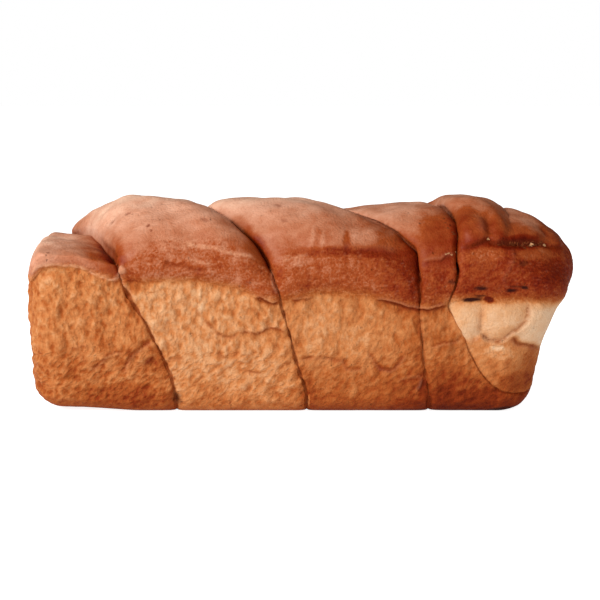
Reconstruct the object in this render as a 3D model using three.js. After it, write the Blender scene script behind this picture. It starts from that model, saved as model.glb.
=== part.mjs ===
import * as THREE from 'three';

// A long tin loaf, in one piece: a rope of dough, twisted and baked in an open tin. The tin has pressed the
// lower part square, the turns of the twist have swelled over its rim, and a seam runs between each two.
// Millimetres, +Z up. X runs along the loaf, its front looks towards -Y, and it lies on the plane Z = 0.

// Section across the loaf: half widths, heights and the roundings of foot and dome
const BASE_HALF = 50;
const RIM_HALF = 56.5;
const WAIST_HALF = 60;
const FOOT_RADIUS = 10;
const RIM_HEIGHT = 70;
const WAIST_HEIGHT = 82;
const AXIS_HEIGHT = 50;
const DOME_POWER = 2.15;
const WAIST_LIFT = 0.75;       // share of a lifted rim's height that the waist goes up with it

// Girth: the way round the section, from the middle of the bottom up the front to the crest
const FLAT = BASE_HALF - FOOT_RADIUS;
const FOOT = FLAT + FOOT_RADIUS * Math.PI / 2;
const RIM = FOOT + Math.hypot(RIM_HALF - BASE_HALF, RIM_HEIGHT - FOOT_RADIUS);
const WAIST = RIM + Math.hypot(WAIST_HALF - RIM_HALF, WAIST_HEIGHT - RIM_HEIGHT);
const SHOULDER = WAIST + 26;
const BROW = WAIST + 48;
const CREST = WAIST + 84;
const FULL_GIRTH = 2 * CREST;

// Seams: places along X up the front wall, over the dome and down the back, then the height of the valley
// where a seam crosses the crest, its depth on wall and dome against the named depths, and how sheer the
// turns beside it end, on the shoulder and on the crest: 0.5 is a round edge, 1 a slope. A place beyond the
// loaf's end lies round the corner, on the end wall.
const SEAM_FRONT_GIRTHS = [FOOT, FOOT + 14, FOOT + 36, RIM, WAIST, SHOULDER, BROW, CREST];
const SEAM_BACK_GIRTHS = [WAIST, RIM, FOOT];
const SEAMS = [
  { front: [-73, -80, -90, -104, -109, -114, -122, -140], back: [-152, -157, -176],
    valley: 103, depth: [1, 0.45], fall: [0.6, 0.6], rise: [0.55, 1.15] },
  { front: [6, 1.5, -5, -13, -15, -21, -32, -55], back: [-81, -91, -112],
    valley: 116, depth: [1, 1.1], fall: [0.55, 0.7], rise: [0.5, 0.6] },
  { front: [79, 77, 74, 70.5, 70, 69.5, 61, 32], back: [0, -9, -34],
    valley: 116, depth: [1, 0.7], fall: [0.9, 0.8], rise: [0.5, 0.6] },
  { front: [186, 144, 114, 91, 92, 95, 93, 82], back: [56, 52, 30],
    valley: 117, depth: [1, 1], fall: [0.7, 0.8], rise: [0.5, 0.55] },
  { front: [202, 186, 162, 126, 122, 126, 128, 129], back: [110, 104, 85],
    valley: 120.5, depth: [0.3, 0.15], fall: [0.7, 1], rise: [0.6, 0.7] },
];

// Turns of the twist from the left: height of the crown, the share of the turn where it peaks, how far
// the crust there stands above the tin's rim, and the rings of the mesh
const TURNS = [
  { crown: 106, peak: 0.5, lift: 22, rings: 14 },
  { crown: 127.5, peak: 0.54, lift: 4, rings: 12 },
  { crown: 127, peak: 0.5, lift: 1, rings: 12 },
  { crown: 123, peak: 0.7, lift: -2, rings: 8 },
  { crown: 129, peak: 0.45, lift: -1, rings: 8 },
  { crown: 124.5, peak: 0.5, lift: -1, rings: 15 },
];

// Ends: place of the end wall, how long the rounding before it is on the wall and on the dome, the share
// of the section that it takes, and how far the end leans in at each height
const LEFT_END = { x: -165, wallDepth: 20, domeDepth: 19, wallRound: 0.33, domeRound: 0.55,
  heights: [0, 40, 70, 130], leans: [4, 1.5, 0, 0] };
const RIGHT_END = { x: 167.5, wallDepth: 24, domeDepth: 60, wallRound: 0.36, domeRound: 0.62,
  heights: [0, 40, 66, 82, 130], leans: [30, 20, 8, 0, 0] };
const LEAN = { from: 95, to: 18 };      // distances before the end wall over which the lean comes in

// Depth of a seam below the skin, and how boxy a turn's swelling is, up the section
const DEPTH_GIRTHS = [FLAT - 8, FOOT, RIM - 6, RIM + 4, SHOULDER, BROW, CREST];
const SEAM_DEPTHS = [0, 1.6, 1.6, 3, 12.5, 11, 0];
const BOX_GIRTHS = [RIM - 4, WAIST + 6, SHOULDER, CREST];
const BOX_POWERS = [24, 7, 3.2, 2.6];

// Lip: how far a turn's left edge hangs over its seam on the dome, and the shares of the turn where it is
// full and where it has gone
const LIP = { reach: 3.5, full: 0.04, gone: 0.3 };

// Torn tuck along the front of the dome at the right end
const TUCK = { from: 96, to: 172, girth: WAIST + 23, width: 5, depth: 3.2, fade: 10 };

// Unevenness of the risen dough: length and height of each set of lumps, and the two ways that it runs
const direction = (x, y, z) => new THREE.Vector3(x, y, z);
const LUMPS = [
  { length: 61, height: 0.9, first: direction(1, 0.6, 0), second: direction(0, 0.8, -1) },
  { length: 34, height: 0.5, first: direction(1, 0.6, 0.2), second: direction(0.3, 0.8, -1) },
  { length: 27, height: 0.4, first: direction(0.7, -1, 0), second: direction(0.3, 0, 1) },
];
const WALL_LUMPS = 0.4;        // share of that height where the tin has pressed the dough
const FLOOR_FADE = 14;         // height over which lumps fade out towards the flat bottom
const POLE_FADE = 15;          // and how far from the middle of an end wall

// How much closer the rings lie beside the seams: 0 is evenly spaced
const CROWDING = { end: 0.25, between: 0.6 };

// Columns of the mesh between the named girths, for the front half
const COLUMNS = [[0, FLAT, 4], [FLAT, FOOT, 3], [FOOT, RIM, 7], [RIM, WAIST, 3], [WAIST, CREST, 19]];

const mix = THREE.MathUtils.lerp;
const clamp = THREE.MathUtils.clamp;
const ease = (from, to, at) => THREE.MathUtils.smoothstep(at, from, to);

// Front and back have the same section, so a girth on the back counts down from the crest
const halfGirth = (girth) => Math.min(girth, FULL_GIRTH - girth);

// A smooth curve through the values at the stations, without overshoot
function through(stations, values, at) {
  const last = stations.length - 1;
  const place = clamp(at, stations[0], stations[last]);
  const slopes = [];
  for (let i = 0; i < last; i += 1) slopes.push((values[i + 1] - values[i]) / (stations[i + 1] - stations[i]));
  const tangent = (i) => {
    if (i === 0) return slopes[0];
    if (i === last) return slopes[last - 1];
    const product = slopes[i - 1] * slopes[i];
    return product > 0 ? 2 * product / (slopes[i - 1] + slopes[i]) : 0;
  };
  let i = 0;
  while (i < last - 1 && place > stations[i + 1]) i += 1;
  const span = stations[i + 1] - stations[i];
  const f = (place - stations[i]) / span;
  const near = (1 + 2 * f) * (1 - f) ** 2 * values[i] + f * (1 - f) ** 2 * span * tangent(i);
  const far = f * f * (3 - 2 * f) * values[i + 1] + f * f * (f - 1) * span * tangent(i + 1);
  return near + far;
}

// Half section at a girth: half width and height, for a dome that is crown high and a rim lifted by lift
function halfSection(half, crown, lift) {
  const rim = RIM_HEIGHT + lift;
  const waist = WAIST_HEIGHT + lift * WAIST_LIFT;
  if (half <= FLAT) return [half, 0];
  if (half <= FOOT) {
    const turn = (half - FLAT) / FOOT_RADIUS;
    return [FLAT + FOOT_RADIUS * Math.sin(turn), FOOT_RADIUS * (1 - Math.cos(turn))];
  }
  if (half <= RIM) {
    const up = (half - FOOT) / (RIM - FOOT);
    return [mix(BASE_HALF, RIM_HALF, up), mix(FOOT_RADIUS, rim, up)];
  }
  if (half <= WAIST) {
    const up = (half - RIM) / (WAIST - RIM);
    return [mix(RIM_HALF, WAIST_HALF, Math.sin(up * Math.PI / 2)), mix(rim, waist, up)];
  }
  const turn = (half - WAIST) / (CREST - WAIST) * Math.PI / 2;
  const out = Math.max(Math.cos(turn), 0) ** (2 / DOME_POWER);
  const up = Math.sin(turn) ** (2 / DOME_POWER);
  return [WAIST_HALF * out, mix(waist, crown, up)];
}

function section(girth, crown, lift) {
  const [y, z] = halfSection(halfGirth(girth), crown, lift);
  return [girth <= CREST ? -y : y, z];
}

// The section moved in along its normal
function insetSection(girth, crown, lift, inset) {
  const step = 0.5;
  const [y, z] = section(girth, crown, lift);
  const [y0, z0] = section(Math.max(girth - step, 0), crown, lift);
  const [y1, z1] = section(Math.min(girth + step, FULL_GIRTH), crown, lift);
  const length = Math.hypot(y1 - y0, z1 - z0);
  return [y + (z1 - z0) / length * inset, z - (y1 - y0) / length * inset];
}

// Where a seam lies along X at a girth. Under the loaf it runs straight across.
function seamPlace(seam, girth) {
  const foot = seam.front[0];
  const backFoot = seam.back.at(-1);
  const middle = (foot + backFoot) / 2;
  const girths = [0, ...SEAM_FRONT_GIRTHS, ...SEAM_BACK_GIRTHS.map((half) => FULL_GIRTH - half), FULL_GIRTH];
  return through(girths, [middle, ...seam.front, ...seam.back, middle], girth);
}

// Rounding of an end at a girth: its depth, its share of the section, the arc over it and the flat wall
function endRounding(end, girth, reach) {
  const dome = ease(RIM - 5, WAIST + 25, halfGirth(girth));
  const depth = mix(end.wallDepth, end.domeDepth, dome);
  const share = mix(end.wallRound, end.domeRound, dome);
  const arc = Math.PI / 2 * Math.sqrt((depth ** 2 + (share * reach) ** 2) / 2);
  return { depth, share, arc, flat: (1 - share) * reach };
}

// How far the skin runs at a girth before it meets the middle of the end wall
function endPlace(end, girth, reach) {
  const { depth, arc, flat } = endRounding(end, girth, reach);
  return end.x + Math.sign(end.x) * (arc + flat - depth);
}

// Brings a section point at a place along the skin onto the loaf, round the corner where it is past it
function closeEnd(end, place, girth, y, z) {
  const side = Math.sign(end.x);
  const { depth, share, arc, flat } = endRounding(end, girth, Math.hypot(y, z - AXIS_HEIGHT));
  const start = end.x - side * depth;
  const past = (place - start) * side;
  let x = place;
  let scale = 1;
  if (past > arc) {
    x = end.x;
    scale = (1 - share) * (1 - clamp((past - arc) / flat, 0, 1));
  } else if (past > 0) {
    const turn = past / arc * Math.PI / 2;
    x = start + side * depth * Math.sin(turn);
    scale = 1 - share * (1 - Math.cos(turn));
  }
  const height = mix(AXIS_HEIGHT, z, scale);
  const before = (end.x - x) * side;
  const lean = through(end.heights, end.leans, height) * (1 - ease(LEAN.to, LEAN.from, before));
  return new THREE.Vector3(x - side * lean, y * scale, height);
}

// Swelling of a turn over the seams beside it: 0 in the seam, 1 on the crown
function swelling(turn, leftSeam, rightSeam, share, girth) {
  const dome = ease(SHOULDER, CREST, halfGirth(girth));
  const power = through(BOX_GIRTHS, BOX_POWERS, halfGirth(girth));
  const wall = ease(RIM, WAIST, halfGirth(girth));
  const beyond = share < turn.peak ? (turn.peak - share) / turn.peak : (share - turn.peak) / (1 - turn.peak);
  const seam = share < turn.peak ? leftSeam : rightSeam;
  if (!seam) return 1;
  const edge = share < turn.peak ? seam.rise : seam.fall;
  const sheer = mix(0.5, mix(edge[0], edge[1], dome), wall);
  return Math.max(1 - beyond ** power, 0) ** sheer;
}

// Height of the lumps at a point
function lumps(point) {
  return LUMPS.reduce((sum, { length, height, first, second }) => {
    const wave = 2 * Math.PI / length;
    return sum + height * Math.sin(wave * point.dot(first)) * Math.cos(wave * point.dot(second));
  }, 0);
}

// Depth of the torn tuck: sheer above its line, where the upper crust hangs over, and eased out below
function tuckDepth(x, girth) {
  const along = ease(TUCK.from, TUCK.from + TUCK.fade, x) * (1 - ease(TUCK.to - TUCK.fade, TUCK.to, x));
  const above = girth - TUCK.girth;
  const reach = above > 0 ? TUCK.width / 2 : TUCK.width;
  return TUCK.depth * along * Math.max(1 - (above / reach) ** 2, 0);
}

// The point of the skin on a turn, at a share of its way between its seams and at a girth
function skinPoint(index, share, girth) {
  const turn = TURNS[index];
  const leftSeam = SEAMS[index - 1];
  const rightSeam = SEAMS[index];
  const half = halfGirth(girth);
  const liftBeside = (other) => (TURNS[other] ? TURNS[other].lift : turn.lift);
  const lift = share < 0.5
    ? mix((turn.lift + liftBeside(index - 1)) / 2, turn.lift, ease(0, 0.5, share))
    : mix(turn.lift, (turn.lift + liftBeside(index + 1)) / 2, ease(0.5, 1, share));
  const [y1, z1] = section(girth, turn.crown, lift);
  const reach = Math.hypot(y1, z1 - AXIS_HEIGHT);
  const left = leftSeam ? seamPlace(leftSeam, girth) : endPlace(LEFT_END, girth, reach);
  const right = rightSeam ? seamPlace(rightSeam, girth) : endPlace(RIGHT_END, girth, reach);
  const place = mix(left, right, share);

  const valleyOf = (seam) => (seam ? seam.valley : turn.crown);
  const depthOf = (seam) => (seam ? mix(...seam.depth, ease(RIM, SHOULDER, half)) : 0);
  const inset = through(DEPTH_GIRTHS, SEAM_DEPTHS, half) * mix(depthOf(leftSeam), depthOf(rightSeam), share);
  const [y0, z0] = insetSection(girth, mix(valleyOf(leftSeam), valleyOf(rightSeam), share), lift, inset);
  const swell = swelling(turn, leftSeam, rightSeam, share, girth);

  const end = place < 0 ? LEFT_END : RIGHT_END;
  const point = closeEnd(end, place, girth, mix(y0, y1, swell), mix(z0, z1, swell));
  if (leftSeam) {
    const edge = ease(0, LIP.full, share) * (1 - ease(LIP.full, LIP.gone, share));
    point.x -= LIP.reach * edge * ease(WAIST, SHOULDER, half);
  }
  const out = direction(0, point.y, point.z - AXIS_HEIGHT);
  const skin = ease(0, POLE_FADE, out.length()) * ease(0, FLOOR_FADE, point.z);
  const pressed = mix(WALL_LUMPS, 1, ease(RIM, SHOULDER, half));
  out.normalize();
  return point.addScaledVector(out, (lumps(point) * pressed - tuckDepth(point.x, girth)) * skin);
}

// Girth of each column of the mesh, all the way round
function columnGirths() {
  const front = COLUMNS.flatMap(([from, to, count]) =>
    Array.from({ length: count }, (_, k) => mix(from, to, k / count)));
  const back = front.slice(1).reverse().map((girth) => FULL_GIRTH - girth);
  return [...front, CREST, ...back, FULL_GIRTH];
}

// Turn and share of each ring of the mesh, closer together beside the seams
function ringPlaces() {
  const places = [{ index: 0, share: 0 }];
  TURNS.forEach((turn, index) => {
    const isEnd = index === 0 || index === TURNS.length - 1;
    const crowd = isEnd ? CROWDING.end : CROWDING.between;
    for (let k = 1; k <= turn.rings; k += 1) {
      const even = k / turn.rings;
      places.push({ index, share: even - crowd * Math.sin(2 * Math.PI * even) / (2 * Math.PI) });
    }
  });
  return places;
}

// The loaf is a sphere of rings and columns whose poles are the middles of the end walls
function loafGeometry() {
  const girths = columnGirths();
  const rings = ringPlaces();
  const geometry = new THREE.SphereGeometry(AXIS_HEIGHT, girths.length - 1, rings.length - 1);
  const position = geometry.getAttribute('position');
  rings.forEach(({ index, share }, ring) => {
    girths.forEach((girth, column) => {
      const point = skinPoint(index, share, girth % FULL_GIRTH);
      position.setXYZ(ring * girths.length + column, point.x, point.y, point.z);
    });
  });
  geometry.deleteAttribute('uv');
  geometry.computeBoundingBox();
  const middle = geometry.boundingBox.getCenter(new THREE.Vector3());
  geometry.translate(-middle.x, -middle.y, 0);
  geometry.computeVertexNormals();
  return geometry;
}

const crust = new THREE.MeshStandardMaterial({ color: 0xb06a3c, roughness: 0.55, metalness: 0 });
const loaf = new THREE.Mesh(loafGeometry(), crust);
loaf.name = 'loaf';

const part = new THREE.Group();
part.add(loaf);

export default part;
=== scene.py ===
"""A long twisted tin loaf on a pale studio floor.

The loaf is a rope of dough that was twisted and baked in an open tin. The tin has pressed its lower
part square, the turns of the twist have swelled over the tin's rim, and a seam runs between each two
turns. The form is worked out in millimetres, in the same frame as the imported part, and becomes metres
when it is placed on the mesh.
"""

import logging
import math
from collections.abc import Sequence
from dataclasses import dataclass, field, fields
from enum import Enum
from typing import ClassVar

import bmesh
import bpy
import numpy as np
from mathutils import Euler, Matrix, Vector, noise
from mathutils.bvhtree import BVHTree

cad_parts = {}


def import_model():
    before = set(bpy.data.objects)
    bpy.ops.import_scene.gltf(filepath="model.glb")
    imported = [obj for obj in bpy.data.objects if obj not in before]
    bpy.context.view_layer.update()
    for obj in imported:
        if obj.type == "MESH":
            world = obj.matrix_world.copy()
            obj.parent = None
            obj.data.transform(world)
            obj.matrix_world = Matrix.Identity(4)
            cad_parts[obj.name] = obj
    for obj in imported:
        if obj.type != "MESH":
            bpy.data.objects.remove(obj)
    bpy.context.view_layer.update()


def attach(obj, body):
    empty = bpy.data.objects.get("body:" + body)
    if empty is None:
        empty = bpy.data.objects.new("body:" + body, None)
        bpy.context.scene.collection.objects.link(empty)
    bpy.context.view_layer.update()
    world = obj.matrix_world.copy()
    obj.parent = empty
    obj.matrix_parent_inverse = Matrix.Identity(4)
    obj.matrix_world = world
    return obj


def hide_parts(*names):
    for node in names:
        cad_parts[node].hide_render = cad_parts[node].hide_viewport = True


log = logging.getLogger("tin_loaf")

Array = np.ndarray
Colour = tuple[float, float, float]
Place = tuple[float, float]
Point = tuple[float, float, float]
Tone = tuple[float, float, float, float, float]
Sockets = bpy.types.bpy_prop_collection

MM = 0.001
SEED = 29
SPACING_STEPS = 4000
WHITE = (1.0, 1.0, 1.0)

# X and Y of the form's middle, which comes to lie over the origin
FORM_MIDDLE = (1.07, 0.15)

# Heights above the foot at which a seam's places on the wall are given
SEAM_STEPS = (0, 4, 14, 36)

# A place along the skin that is past either end of the loaf
PAST_END = 1000.0


# ------------------------------------------------------------
# Curves and noise
# ------------------------------------------------------------


def ease(start: float | Array, stop: float | Array, at: float | Array) -> Array:
    """Runs smoothly from 0 to 1 between two places.

    Args:
        start: Where the result leaves 0.
        stop: Where the result reaches 1.
        at: The places asked for.

    Returns:
        The share of the way, flat at both ends.
    """
    share = np.clip((at - start) / (stop - start), 0.0, 1.0)
    return share * share * (3.0 - 2.0 * share)


def mix(first: float | Array, second: float | Array, share: float | Array) -> Array:
    """Returns the value that lies a share of the way from first to second."""
    return first + (second - first) * share


def bump(distance: Array, width: float) -> Array:
    """Returns a bell of height 1 at distance 0, which has gone at about twice the width."""
    return np.exp(-((distance / width) ** 2))


def through(stations: Sequence[float] | Array, values: Sequence[float] | Array, at: Array) -> Array:
    """Runs a smooth curve through values at stations, without overshoot.

    Args:
        stations: Rising places of the values.
        values: The value at each station.
        at: The places asked for. Beyond the last stations the curve stays level.

    Returns:
        The curve at those places.
    """
    places, heights = np.asarray(stations, float), np.asarray(values, float)
    at = np.clip(at, places[0], places[-1])
    spans = np.diff(places)
    slopes = np.diff(heights) / spans
    tangents = np.concatenate((slopes[:1], np.zeros(len(slopes) - 1), slopes[-1:]))
    product = slopes[:-1] * slopes[1:]
    total = np.where(product > 0, slopes[:-1] + slopes[1:], 1.0)
    tangents[1:-1] = np.where(product > 0, 2.0 * product / total, 0.0)
    i = np.clip(np.searchsorted(places, at, side="right") - 1, 0, len(spans) - 1)
    f = (at - places[i]) / spans[i]
    near = (1 + 2 * f) * (1 - f) ** 2 * heights[i] + f * (1 - f) ** 2 * spans[i] * tangents[i]
    far = f * f * (3 - 2 * f) * heights[i + 1] + f * f * (f - 1) * spans[i] * tangents[i + 1]
    return near + far


def spaced(stations: Sequence[float], gaps: Sequence[float], count: int) -> Array:
    """Places a number of steps between the first and the last station.

    Args:
        stations: Rising places.
        gaps: How wide a step is at each station, against the others.
        count: How many steps there are.

    Returns:
        The count + 1 places.
    """
    fine = np.linspace(stations[0], stations[-1], SPACING_STEPS)
    density = 1.0 / np.interp(fine, stations, gaps)
    total = np.concatenate(([0.0], np.cumsum((density[1:] + density[:-1]) / 2)))
    return np.interp(np.linspace(0.0, total[-1], count + 1), total, fine)


def grain(points: Array, length: Point, shift: float, octaves: int = 1) -> Array:
    """Reads soft noise at points.

    Args:
        points: The points, one in each row, in millimetres.
        length: How long the grain is along X, Y and Z, in millimetres.
        shift: Moves the pattern, so that two readings differ.
        octaves: How many finer copies are added.

    Returns:
        The noise at each point, about -1 to 1.
    """
    scaled = (points / np.asarray(length) + shift).tolist()
    if octaves == 1:
        return np.array([noise.noise(point) for point in scaled])
    return np.array([noise.fractal(point, 1.0, 2.0, octaves) for point in scaled])


# ------------------------------------------------------------
# Form: section, seams, turns and ends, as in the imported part
# ------------------------------------------------------------


@dataclass(frozen=True)
class TinSection:
    """Section across the loaf, in millimetres: half widths, heights and the roundings of foot and dome.

    A girth is the way round it, from the middle of the bottom up the front to the crest and down the
    back. The reaches are the girths from the waist to the shoulder, the brow and the crest.
    """

    base_half: float = 50.0
    rim_half: float = 56.5
    waist_half: float = 60.0
    foot_radius: float = 10.0
    rim_height: float = 70.0
    waist_height: float = 82.0
    axis_height: float = 50.0
    dome_power: float = 2.15
    waist_lift: float = 0.75
    shoulder_reach: float = 26.0
    brow_reach: float = 48.0
    crest_reach: float = 84.0

    @property
    def flat(self) -> float:
        """Girth where the flat bottom ends."""
        return self.base_half - self.foot_radius

    @property
    def foot(self) -> float:
        """Girth where the wall starts."""
        return self.flat + self.foot_radius * math.pi / 2

    @property
    def rim(self) -> float:
        """Girth at the tin's rim."""
        return self.foot + math.hypot(self.rim_half - self.base_half, self.rim_height - self.foot_radius)

    @property
    def waist(self) -> float:
        """Girth where the dough is widest."""
        return self.rim + math.hypot(self.waist_half - self.rim_half, self.waist_height - self.rim_height)

    @property
    def shoulder(self) -> float:
        """Girth of the shoulder of the dome."""
        return self.waist + self.shoulder_reach

    @property
    def brow(self) -> float:
        """Girth of the brow of the dome."""
        return self.waist + self.brow_reach

    @property
    def crest(self) -> float:
        """Girth of the crest."""
        return self.waist + self.crest_reach

    @property
    def full(self) -> float:
        """Girth all the way round."""
        return 2 * self.crest

    def half(self, girth: Array) -> Array:
        """Returns the girth counted from the bottom on whichever side it lies."""
        return np.minimum(girth, self.full - girth)

    def outline(self, girth: Array, crown: float | Array, lift: Array) -> tuple[Array, Array]:
        """Works out the section's outline.

        Args:
            girth: Girths asked for.
            crown: Height of the crest.
            lift: How far the rim stands above its usual height.

        Returns:
            Y and Z at those girths.
        """
        half = self.half(girth)
        rim = self.rim_height + lift
        waist = self.waist_height + lift * self.waist_lift
        turn = np.clip((half - self.flat) / self.foot_radius, 0.0, math.pi / 2)
        wall = np.clip((half - self.foot) / (self.rim - self.foot), 0.0, 1.0)
        bulge = np.clip((half - self.rim) / (self.waist - self.rim), 0.0, 1.0)
        arch = np.clip((half - self.waist) / self.crest_reach, 0.0, 1.0) * math.pi / 2
        power = 2 / self.dome_power
        zones = [half <= self.flat, half <= self.foot, half <= self.rim, half <= self.waist]
        out = np.select(
            zones,
            [
                half,
                self.flat + self.foot_radius * np.sin(turn),
                mix(self.base_half, self.rim_half, wall),
                mix(self.rim_half, self.waist_half, np.sin(bulge * math.pi / 2)),
            ],
            self.waist_half * np.maximum(np.cos(arch), 0.0) ** power,
        )
        up = np.select(
            zones,
            [
                np.zeros_like(half),
                self.foot_radius * (1 - np.cos(turn)),
                mix(self.foot_radius, rim, wall),
                mix(rim, waist, bulge),
            ],
            mix(waist, crown, np.sin(arch) ** power),
        )
        return np.where(girth <= self.crest, -out, out), up

    def at_height(self, z: Array, crown: float, lift: Array) -> Array:
        """Finds where the outline reaches a height.

        Args:
            z: The heights.
            crown: Height of the crest.
            lift: How far the rim stands above its usual height.

        Returns:
            The girth counted from the bottom at those heights.
        """
        z = np.maximum(z, 0.0)
        rim = self.rim_height + lift
        waist = self.waist_height + lift * self.waist_lift
        foot = self.flat + self.foot_radius * np.arccos(np.clip(1 - z / self.foot_radius, 0.0, 1.0))
        wall = mix(self.foot, self.rim, (z - self.foot_radius) / (rim - self.foot_radius))
        bulge = mix(self.rim, self.waist, (z - rim) / (waist - rim))
        rise = np.clip((z - waist) / (crown - waist), 0.0, 1.0) ** (self.dome_power / 2)
        dome = self.waist + self.crest_reach * np.arcsin(rise) * 2 / math.pi
        return np.select([z <= self.foot_radius, z <= rim, z <= waist], [foot, wall, bulge], dome)

    def inset(self, girth: Array, crown: Array, lift: Array, depth: Array) -> tuple[Array, Array]:
        """Works out the outline moved in along its normal.

        Args:
            girth: Girths asked for.
            crown: Height of the crest.
            lift: How far the rim stands above its usual height.
            depth: How far the outline moves in.

        Returns:
            Y and Z at those girths.
        """
        step = 0.5
        y, z = self.outline(girth, crown, lift)
        y0, z0 = self.outline(np.maximum(girth - step, 0.0), crown, lift)
        y1, z1 = self.outline(np.minimum(girth + step, self.full), crown, lift)
        length = np.hypot(y1 - y0, z1 - z0)
        return y + (z1 - z0) / length * depth, z - (y1 - y0) / length * depth


SECTION = TinSection()


def up_the_seam(tone: Tone, half: Array) -> Array:
    """Runs a tone up a seam.

    Args:
        tone: Its values on the wall, the waist, the shoulder, the brow and the crest.
        half: Girth counted from the bottom.

    Returns:
        The value at each point.
    """
    s = SECTION
    return through([s.rim - 4, s.waist + 4, s.shoulder, s.brow, s.crest - 6], tone, half)


@dataclass(frozen=True)
class Seam:
    """A seam between two turns.

    front is its places along X at the four steps up the front wall, at the rim, waist, shoulder, brow
    and crest, and back those at the brow, waist, rim and foot of the back. valley is its height on the
    crest, depth its depth on wall and dome against the usual, and fall and rise say how sheer the turns
    on its left and right end, on the shoulder and on the crest. cut is the fine crevice in the seam,
    shade how much painted shade darkens it, and the flank shade how much painted shade darkens the
    flank of the turn on its left, which is turned from the light, each on wall, waist, shoulder, brow and
    crest. The far flank shade is the share of that painted shade on its right. cut_width and the flank
    shade's width are how wide the crevice and the shaded strip are, and foot_notch is how far the foot
    is rounded beside the seam. wander is how far it strays, in waves of the two lengths. edge is its
    place on the front edge of the bottom, where that isn't the foot's, and lip how far the turn on its
    right rolls over it.
    """

    front: tuple[float, ...]
    back: tuple[float, ...]
    valley: float
    depth: Place
    fall: Place
    rise: Place
    cut: Tone
    shade: Tone
    flank: Tone
    cut_width: Place = (0.7, 0.8)
    flank_width: float = 9.0
    far_flank: float = 0.0
    foot_notch: float = 1.4
    wander: float = 0.25
    wander_lengths: Place = (5.3, 2.3)
    edge: float | None = None
    lip: float = 3.5

    def place(self, girth: Array) -> Array:
        """Works out where the seam lies along X.

        Args:
            girth: Girths asked for.

        Returns:
            X at those girths. Under the loaf the seam runs straight across.
        """
        s = SECTION
        up = [*(s.foot + step for step in SEAM_STEPS), s.rim, s.waist, s.shoulder, s.brow, s.crest]
        down = [s.full - half for half in (s.brow, s.waist, s.rim, s.foot)]
        edge = self.front[0] if self.edge is None else self.edge
        middle = (edge + self.back[-1]) / 2
        stations = [0.0, s.flat, *up, *down, s.full - s.flat, s.full]
        places = [middle, edge, *self.front, *self.back, self.back[-1], middle]
        path = through(stations, places, girth)
        long, short = self.wander_lengths
        stray = np.sin(girth / long + self.valley) + 0.6 * np.sin(girth / short + 2 * self.valley)
        return path + self.wander * stray * ease(s.flat, s.foot + 8, s.half(girth))


@dataclass(frozen=True)
class Bake:
    """How brown the crust is, 0 pale and 1 burnt, up a turn.

    The levels are those of the foot, the wall, the top of the wall, the hem just over the rim, the band,
    the shoulder and the crest; the crest is kept light partly as painted light on the top of the dome.
    The dome's darkening towards its right seam is painted shade on its side turned from the light, and
    fall is how much browner the wall gets towards that seam. under is how much browner the bottom is
    than the foot.
    """

    foot: float
    wall: float
    wall_top: float
    hem: float
    band: float
    shoulder: float
    crest: float
    dusk: float = 0.0
    fall: float = 0.0
    under: float = 0.2

    def level(self, half: Array, share: Array) -> Array:
        """Works out the browning of the turn.

        Args:
            half: Girth counted from the bottom.
            share: Share of the way from the left seam to the right one.

        Returns:
            The browning at each point.
        """
        s = SECTION
        up_the_wall = {
            s.flat: self.foot + self.under,
            s.foot + 6: self.foot,
            s.foot + 30: self.wall,
            s.rim - 3: self.wall_top,
            s.rim + 1.5: self.hem,
            s.rim + 9: self.band,
            s.shoulder + 4: self.shoulder,
            s.crest: self.crest,
        }
        late = ease(0.45, 1.0, share)
        dome = ease(s.rim + 4, s.shoulder, half)
        usual = through(list(up_the_wall), list(up_the_wall.values()), half)
        # Towards the right seam the dome is darkened as painted shade on its side turned from the light,
        # and the wall gets browner
        return usual + late * mix(self.fall, self.dusk, dome)


@dataclass(frozen=True)
class Turn:
    """A turn of the twist.

    crown is the height of its crown, peak the share of it where it swells most, rings how many rings of
    the mesh it gets, then its browning, which carries some painted light and shade, and blister how
    strongly the tin has blistered its wall.
    """

    crown: float
    peak: float
    rings: int
    bake: Bake
    blister: float = 1.0


class Side(Enum):
    """An end of the loaf, valued by its sign along X."""

    LEFT = -1
    RIGHT = 1


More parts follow.
